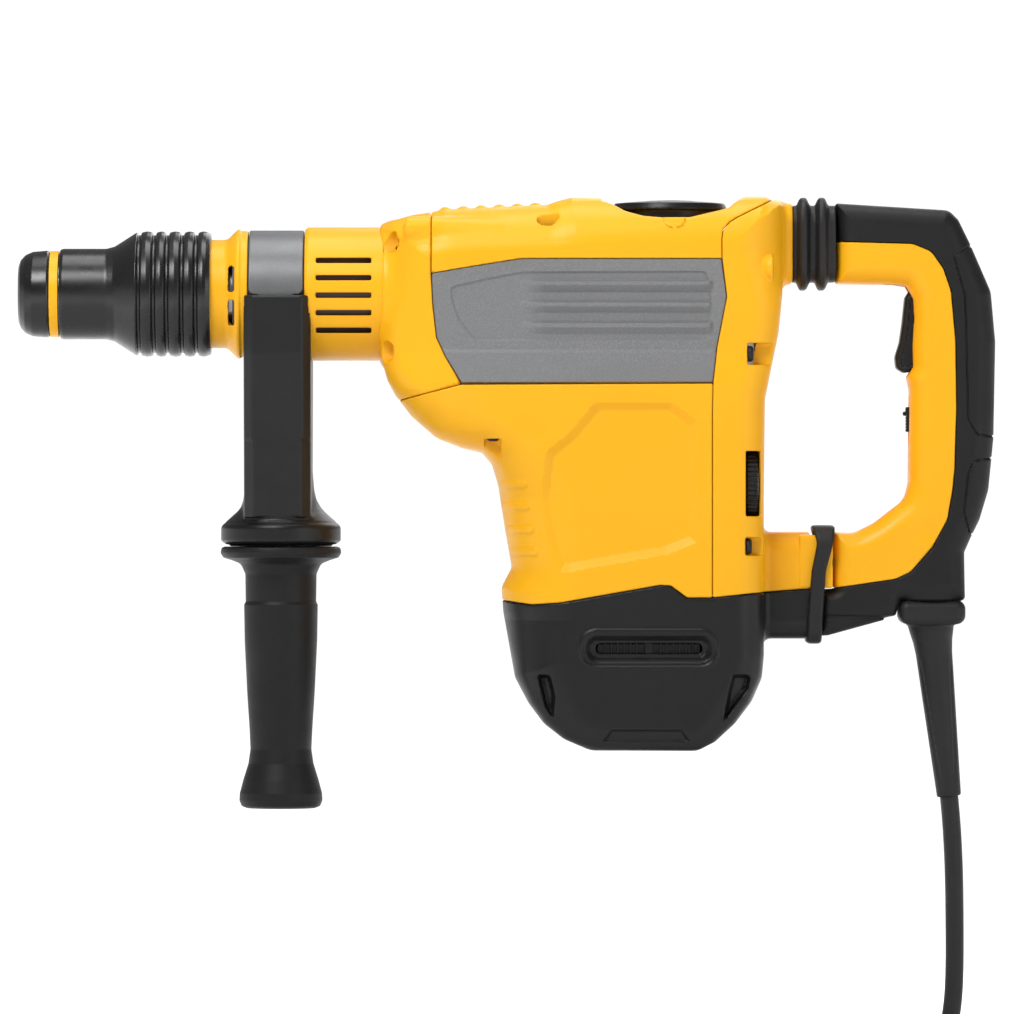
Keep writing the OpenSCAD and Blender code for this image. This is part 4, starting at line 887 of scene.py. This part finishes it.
def shell(name, material):
    """One shell of the housing: the outer form within its seams, made hollow."""
    region = REGIONS[name]
    low, high = cad(name)
    low, high = low - 3, high + 3
    high[X] = REAR_ENDS.get(name, high[X])
    if name == "motor_housing":
        low[X] = HOUSING_CHIN

    def field(x, y, z):
        outer = body_form(x, y, z)
        whole = recesses(x, y, z, outer)
        if name == "gear_cover":
            flank = np.maximum(outline(x, z, PANEL), 30 - np.abs(y))
            whole = cut(whole, meet(flank, -(outer + POCKET), 0.3), 0.4)
        whole = meet(whole, outline(x, z, region) + GAP, 0.6)
        hollow = outer + (GEAR_COVER_WALL if name == "gear_cover" else WALL)
        if name == "rear_cover":
            cheeks = box_field(x, np.abs(y), z, (-74, 9.9, -84.3), (-57.7, 18.1, -58.6), 0.8)
            whole = join(whole, cheeks, 0.6)
            whole = cut(whole, np.maximum(rod(x - PIVOT_X, z - PIVOT_Z, 4.1), np.abs(y) - 17.25), 0.3)
            whole = cut(whole, rod(y, z - ISOLATOR_Z, 4.2), 0.3)
        if name == "front_cover":
            whole = cut(whole, np.maximum(off_axis(y, z) - 28.6, x + 270), 0.4)
        return np.maximum(whole, -hollow)

    sculpt(name + "_shell", field, low, high, material, "housing", [name], 0.9)


def build_housing():
    for name in ("front_cover", "gear_cover", "motor_housing", "rear_cover"):
        shell(name, YELLOW)
    shell("motor_cap", BLACK)
    low, high = cad("side_panel_left")
    for side, name in ((-1, "side_panel_left"), (1, "side_panel_right")):
        def field(x, y, z, side=side):
            outer = body_form(x, y, z)
            plate = meet(outer + panel_relief(x, z) - 0.15, outline(x, z, PANEL) + GAP, 0.5)
            return np.maximum(np.maximum(plate, -(outer + PANEL_BACK)), 30 - side * y)

        ends = sorted((side * 38, side * 49))
        sculpt(name + "_skin", field, (low[X] - 1, ends[0], low[Z] - 1), (high[X] + 3, ends[1], high[Z] + 1),
               GREY, "housing", [name])
    build_vents()
    build_screws()


def build_vents():
    """Fins behind the long air slot on each flank of the cap."""
    bottom, top = VENT_Z - 4.4, VENT_Z + 4.4
    for side, name in ((-1, "left"), (1, "right")):
        def field(x, y, z, side=side):
            ay = side * y
            whole = box_field(x, ay, z, (VENT_X - 2, 38.4, bottom), (VENT_X + 2, 41.6, top), 0.5)
            for k in range(1, 8):
                for way in (-1, 1):
                    mid = VENT_X + way * (2.6 + 3.1 * k)
                    fin = box_field(x, ay, z, (mid - 0.55, 37.6, bottom), (mid + 0.55, 40.8, top), 0.4)
                    whole = np.minimum(whole, fin)
            back = box_field(x, ay, z, (VENT_X - 27, 36.6, bottom), (VENT_X + 27, 38, top), 0.4)
            return np.minimum(whole, back)

        ends = sorted((side * 36, side * 42))
        sculpt(f"vent_fins_{name}", field, (VENT_X - 28, ends[0], VENT_Z - 5),
               (VENT_X + 28, ends[1], VENT_Z + 5), BLACK, "housing", voxel=0.45)


def screw_head(name, along, centre, axis, flip=1, radius=3.9):
    """A pan head with a six-lobed socket, facing along its axis."""
    height, shank, depth = 2.6, 1.9, 5

    def socket(turn, along_, radius_):
        inner = radius_ < radius * 0.56
        return np.where(inner, radius_ * (1 + 0.16 * np.cos(6 * turn)), radius_)

    profile = [(-depth, 0), (-depth, shank), (0, shank), (0, radius, 0.3), (height * 0.6, radius, 0.8),
               (height, radius - 0.9, 0.6), (height, 2.0, 0.2), (height - 1.7, 1.8, 0.2), (height - 1.7, 0)]
    profile = [(along + flip * p[0], *p[1:]) for p in profile]
    lathe(name, profile, SCREW, "housing", ["housing_screws"], axis, centre, 72, socket)


def build_screws():
    for turn in range(4):
        angle = math.pi / 4 + turn * math.pi / 2
        centre = (32 * math.cos(angle), AXIS_Z + 32 * math.sin(angle))
        screw_head(f"barrel_screw_{turn}", -254.2, centre, "x", -1, 3.4)
    for side, name in ((-1, "left"), (1, "right")):
        screw_head(f"cover_screw_upper_{name}", -99.6, (side * SCREW_Y, 29.2), "x")
        screw_head(f"cover_screw_lower_{name}", -100.4, (side * SCREW_Y, -64), "x")
        screw_head(f"front_screw_upper_{name}", -265.8, (side * FRONT_UPPER[0], FRONT_UPPER[1]), "x", -1)
        screw_head(f"front_screw_lower_{name}", -266.6, (side * FRONT_LOWER[0], FRONT_LOWER[1]), "x", -1, 3.4)
        screw_head(f"chin_screw_{name}", -10.4, (-223, side * 36.8), "z", -1, 3)
        screw_head(f"top_screw_{name}", 88.4, (-196.3, side * 36.4), "z", 1, 3.6)


# ---------- dials ----------
def build_dials():
    low = cad("mode_dial")[0][Z]
    seat = DIAL_TOP - 9.1

    def dial(x, y, z):
        dx = x - DIAL_X
        around = rod(dx, y, 0)
        crown = z - DIAL_TOP + 1.7 * (around / DIAL_R) ** 2
        rim = (around - DIAL_R + 0.4 * np.maximum(z - DIAL_TOP + 4.4, 0)) / 1.08
        disc = meet(rim, meet(crown, DIAL_TOP - 5 - z, 0.5), 0.4)
        foot = meet(around - DIAL_R + 3.6, span(z, seat, DIAL_TOP - 4), 0.4)
        disc = join(disc, foot, 0.4)
        sunk = rod(dx / 1.8, np.abs(y) - 13.5, 6.5)
        disc = cut(disc, meet(sunk, DIAL_TOP - 2.6 - z, 1), 1)
        mark = rounded_pair(dx + 19, y, 4, 1.1, 1)
        disc = cut(disc, meet(mark, DIAL_TOP - 2 - z, 0.2), 0.3)
        stem = meet(around - 6, span(z, low, seat + 2), 0.6)
        return join(disc, stem, 0.6)

    sculpt("mode_dial_knob", dial, (DIAL_X - DIAL_R, -DIAL_R, low), (DIAL_X + DIAL_R, DIAL_R, DIAL_TOP),
           BLACK, "mode_dial", ["mode_dial"])
    wheel_low, wheel_high = cad("speed_dial")
    x0, x1 = wheel_low[X], wheel_high[X]
    across = tuple((wheel_low + wheel_high)[1:] / 2)
    radius = half_size("speed_dial", Z)

    def ridged(turn, along, r):
        return np.where(r > radius - 1.2, r - 0.45 + 0.45 * np.cos(40 * turn), r)

    wheel = [(x0 + 2.4, 0), (x0 + 2.4, radius - 2), (x0 + 3, radius, 0.5), (x1 - 0.6, radius, 0.5),
             (x1, radius - 2), (x1, 0)]
    lathe("speed_wheel", wheel, BLACK, "speed_dial", ["speed_dial"], centre=across,
          steps=320, shape=ridged)


# ---------- rear handle ----------
HANDLE_SEAM = [(-56, 84.2), (-19, 83.2), (-9.8, 79.5), (-3.9, 71), (-0.2, 60), (2, 35.6), (2.4, 3),
               (1.5, -26.8), (0.5, -36.6), (-2, -51), (-9.3, -64.4), (-20, -76.6), (-27.3, -80),
               (-57, -84.4)]
HANDLE = rounded([
    (-56, 103, 1), (-1, 99.6, 6), (3.6, 95, 4), (9.3, 83.4, 10), (19.5, 60, 12), (21.7, 35.6, 20),
    (20.8, -11.2, 20), (18.3, -36.6, 14), (14, -51, 6), (9.6, -60, 3), (6.5, -67, 3), (6.8, -90, 1.5),
    (-24.5, -90, 1), (-27.3, -98.4, 3), (-60, -107.4, 6), (-64.4, -107.6, 1), (-64.4, -85.1, 1),
    (-57.2, -84.7, 0.5), (-57.2, -57.1, 1), (-46.8, -57.6, 12), (-37.1, -52.7, 14), (-22.4, -41.3, 10),
    (-20.5, -33, 8), (-20.3, -13, 20), (-20, 12.2, 10), (-21.4, 18.5, 2), (-18.7, 23.5, 2), (-19, 34, 10),
    (-18.1, 46.4, 8), (-18.5, 56, 6), (-22, 62.5, 1.5), (-29.3, 63.4, 3), (-56, 63.9, 1)], 2)
SOFT_SEAM = HANDLE_SEAM[:1] + [(x, z, 8) for x, z in HANDLE_SEAM[1:-1]] + HANDLE_SEAM[-1:]
SPLIT = [(-70, 84.3)] + rounded(SOFT_SEAM)[1:-1] + [(-57, -84.4), (-80, -85.2), (-140, -85), (-140, 84.3)]
UPPER_PAD = rounded([(1.2, 76.6, 1), (9.8, 83, 3), (30, 60, 8), (30, -10.5, 1), (20.8, -10.4, 4),
                     (12.4, -9.6, 3), (8, -2, 4), (7.6, 20, 12), (6.6, 58, 12)])
LOWER_PAD = rounded([(30, -21, 1), (19, -21, 4), (10.4, -22.6, 4), (8, -29, 4), (6, -47, 8), (8.6, -58, 3),
                     (30, -59, 1)])


def handle_form(x, y, z):
    """The whole D handle before it is divided at its seam."""
    round_edge = np.interp(z, [-110, -92, -86, -60, 60, 95], [5, 6, 8, 10, 10.5, 9]).astype(np.float32)
    form = meet(outline(x, z, HANDLE), np.abs(y) - HANDLE_HALF, round_edge)
    pads = np.minimum(outline(x, z, UPPER_PAD), outline(x, z, LOWER_PAD))
    line = 0.8 * ramp_in(np.abs(pads) - 0.7, 0.7)
    trough = 0.9 * ramp_in(np.maximum(np.abs(z + 99.3 + 0.02 * x) - 1.4, x + 20), 1.2)
    socket = meet(rod(x + 9.6, y * 0.98, 16.2), span(z, -90, -62), 1)
    return join(form + line + trough, meet(socket, x - 6.4, 3), 3)


def bolt_hole(x, y, z):
    """The way for the guide bolt and its spring, into the upper arm."""
    return rod(y, z - ISOLATOR_Z, 9) + np.maximum(x + 40, 0)


def build_handle():
    def guard(x, y, z):
        form = handle_form(x, y, z)
        form = meet(form, outline(x, z, SPLIT) + GAP, 0.5)
        tongue = box_field(x, y, z, (-68.2, -9.4, -82), (-56, 9.4, -59), 0.8)
        heel = box_field(x, y, z, (-80, -20, -92), (-66.5, 20, -78.5), 0.3)
        form = join(form, cut(tongue, heel, 0.4), 0.6)
        form = cut(form, rod(x - PIVOT_X, z - PIVOT_Z, 4.2), 0.3)
        for low, high, r in (((-32, -8.6, 19.3), (-10, 8.6, 66), 1), ((-30, -4.7, -14), (-15, 4.7, 9), 0.8),
                             ((-11.5, -14, -40), (14, 14, 59), 3)):
            form = cut(form, box_field(x, y, z, low, high, r), 0.5)
        return cut(form, bolt_hole(x, y, z), 0.4)

    def back(x, y, z):
        form = handle_form(x, y, z)
        form = meet(form, -outline(x, z, SPLIT) + GAP, 0.5)
        form = cut(form, box_field(x, y, z, (-20, -14, -38), (8, 14, 58), 3), 0.5)
        return cut(form, bolt_hole(x, y, z), 0.4)

    low, high = cad("rear_handle")
    sculpt("rear_handle_guard", guard, (low[X], -18, low[Z] - 2), (high[X] + 1, 18, high[Z] + 2), YELLOW,
           "rear_handle", ["rear_handle"])
    low, high = cad("handle_overmould")
    sculpt("handle_overmould_back", back, (low[X], -18, low[Z] - 1), (high[X] + 1, 18, high[Z] + 1),
           BLACK_SOFT, "rear_handle", ["handle_overmould"])
    build_trigger()
    build_slider()


def build_trigger():
    """The trigger, and the switch behind it with the trigger's pin."""
    trigger_line = rounded([(-19.5, 61.4, 2), (-22.3, 57, 3), (-23.7, 44, 20), (-25, 35, 8), (-27.2, 28, 5),
                            (-26.6, 22.6, 2.5), (-23, 20.4, 2), (-19, 21, 1), (-13, 24), (-11, 40), (-11, 56),
                            (-14, 61.4)])

    def trigger(x, y, z):
        side = outline(x, z, trigger_line)
        groove = 0.5 * ramp_in(np.abs(side + 3) - 0.4, 0.6)
        paddle = meet(side, np.abs(y) - 8.1 + groove, 2.4)
        return cut(paddle, rod(x - PIN_X, z - PIN_Z, 2.1), 0.2)

    sculpt("trigger_paddle", trigger, (-28, -8.2, 20), (-10.5, 8.2, 62), BLACK, "trigger",
           ["trigger"], 0.6)

    def switch(x, y, z):
        box = box_field(x, y, z, (-4, -11, -14), (4, 11, 55), 1.5)
        plunger = box_field(x, y, z, (-5, -4, 30), (-3.5, 4, 40), 0.5)
        pin = meet(rod(x - PIN_X, z - PIN_Z, 2), span(y, -12.2, 12.2), 0.3)
        return np.minimum(join(box, plunger, 0.4), pin)

    sculpt("switch_body", switch, (-18, -12.4, -14), (4, 12.4, 60), BLACK, "rear_handle",
           ["switch_module"], 0.7)


def build_slider():
    """The ribbed lock-on slider under the trigger."""
    def slider(x, y, z):
        pad = box_field(x, y, z, (-21.8, -4.1, -8.3), (-14, 4.1, 3.9), 0.7)
        for k in range(5):
            pad = cut(pad, rod(x + 22, z + 6.8 - 1.5 * k, 0.5), 0.2)
        tab = box_field(x, y, z, (-23.1, -3, -0.4), (-20, 3, 1.6), 0.6)
        foot = box_field(x, y, z, (-14.1, -7, -8.3), (-12.5, 7, 3.9), 0.5)
        return join(join(pad, tab, 0.5), foot, 0.3)

    sculpt("lock_slider_button", slider, (-23.5, -7, -8.5), (-12, 7, 4), BLACK, "lock_slider",
           ["lock_slider"], 0.45)


def build_bellows():
    low, high = cad("isolator_bellows")
    half_y, half_z = 17.2, 18.6

    def bellows(x, y, z):
        rise = z - ISOLATOR_Z
        swell = sum(3.9 * np.exp(-((x - fold) / 2.5) ** 4) for fold in (low[X] + 5.2, low[X] + 14.2))
        grown = rounded_pair(y, rise, half_y, half_z, 9.5) - swell
        wall = np.maximum(grown, -(rounded_pair(y, rise, half_y - 3.4, half_z - 3.4, 7) - 0.8 * swell))
        return meet(wall, span(x, low[X], high[X]), 0.6)

    made = sculpt("isolator_bellows_rubber", bellows, (low[X], -21.4, ISOLATOR_Z - 22.8),
                  (high[X], 21.4, ISOLATOR_Z + 22.8), RUBBER, None, ["isolator_bellows"], 0.7)
    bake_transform(made)


def build_spring(node, turns, wire):
    """A wound spring along X."""
    low, high = cad(node)
    steps, sides = 40 * turns, 12
    _, mid_y, mid_z = (low + high) / 2
    reach = (high[Y] - low[Y]) / 2 - wire
    t = np.linspace(0, 1, steps + 1)
    turn = 2 * math.pi * turns * t
    outward = np.stack([0 * t, np.cos(turn), np.sin(turn)], -1)
    centre = reach * outward + (0, mid_y, mid_z)
    centre[:, 0] = low[X] + wire + (high[X] - low[X] - 2 * wire) * t
    ahead = np.gradient(centre, axis=0)
    ahead /= np.linalg.norm(ahead, axis=1)[:, None]
    around = np.arange(sides) * 2 * math.pi / sides
    normals = (outward[:, None] * np.cos(around)[None, :, None]
               + np.cross(ahead, outward)[:, None] * np.sin(around)[None, :, None])
    points = (centre[:, None] + wire * normals).reshape(-1, 3)
    i, j = np.meshgrid(np.arange(steps) * sides, np.arange(sides), indexing="ij")
    beside = (j + 1) % sides
    wall = np.stack([i + j, i + beside, i + sides + beside, i + sides + j], -1).reshape(-1, 4)
    k = np.arange(sides // 2 - 1)
    cap = np.stack([k, k + 1, sides - 2 - k, sides - 1 - k], -1)
    faces = np.concatenate([wall, cap[:, ::-1], cap + steps * sides])
    made = finish_mesh(node + "_wire", points, faces, None, STEEL_X, None, [node])
    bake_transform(made)


STRAP = rounded([(-68.6, -53.2, 2.5), (-56.4, -53.2, 2.5), (-57.4, -62, 8), (-61.2, -76, 14),
                 (-62.8, -100, 12), (-63.2, -112, 2.5), (-70.6, -112, 2.5), (-70.2, -100, 12),
                 (-68.2, -76, 14), (-65.4, -62, 8)])


def build_strap():
    low, high = cad("handle_strap")

    def strap(x, y, z):
        outer = rounded_pair(y, z + 82.6, 21.5, 29.3, 11)
        inner = rounded_pair(y, z + 82.8, 18, 26.2, 9)
        return meet(meet(outline(x, z, STRAP), outer, 1.6), -inner, 0.8)

    sculpt("handle_strap_rubber", strap, (-71, -21.6, low[Z]), (-56, 21.6, high[Z]), RUBBER, "housing",
           ["handle_strap"], 0.7)


def build_boot():
    top, end = np.array([-9.3, -102.4]), np.array([-0.5, -186.0])
    length = float(np.linalg.norm(end - top))
    lean = (end - top) / length

    def boot(x, y, z):
        block = box_field(x, y, z, (-25.4, -16, -102), (7, 16, -90.2), 4.5)
        collar = box_field(x, y, z, (-22, -14, -102.4), (2.9, 14, -97), 2)
        along = (x - top[0]) * lean[0] + (z - top[1]) * lean[1]
        off = np.sqrt(((x - top[0]) * lean[1] - (z - top[1]) * lean[0]) ** 2 + y * y)
        radius = np.interp(along, [-2, 3, 8, 14, 24, 45, length], [11.6, 10.7, 9.6, 8.9, 8.5, 7.6, 5.9])
        flute = 0.45 * np.clip(1 - ((np.abs(y) - 4.6) / 1.0) ** 2, 0, 1)
        flute = flute * np.clip((along - 16) / 8, 0, 1) * np.clip((length - 6 - along) / 6, 0, 1)
        cone = meet(off - radius + flute, span(along, -4, length), 0.9)
        return join(join(block, collar, 0.6), cone, 1.2)

    low, high = cad("cord_gland_boot")
    sculpt("cord_boot_rubber", boot, low, high, RUBBER, "rear_handle", ["cord_gland_boot"],
           0.7)


# ---------- finishes of the mechanism ----------
FINISHES = [
    (STEEL_X, "tool_holder spindle_tube striker impact_bolt handle_pins"),
    (STEEL_Z, "clamp_bolt crankshaft wrist_pin"),
    (GEAR_STEEL, "locking_bars bevel_ring_gear bevel_shaft crank_gear connecting_rod bolt_guide"),
    (CASTING, "gear_case gear_case_lid bearing_plate piston"),
    (DARK_CASTING_AND_SHADE, "barrel_tube bearings"),
    (LAMINATION, "armature stator"),
    # barrel_tube and bearings carry painted shade in their finish, where they show through the slots
    (COPPER, "commutator field_coils"),
    (BRASS, "brush_holders"),
    (BOARD, "control_module"),
    (BLACK, "grip_core cooling_fan"),
]


def finish_mechanism():
    for material, nodes in FINISHES:
        for name in nodes.split():
            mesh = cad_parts[name].data
            for index in range(len(mesh.materials)):
                mesh.materials[index] = material


build_front_end()
build_side_handle()
build_housing()
build_dials()
build_handle()
build_bellows()
build_spring("sleeve_spring", 4, 0.8)
build_spring("isolator_spring", 4, 1.1)
build_strap()
build_boot()
finish_mechanism()
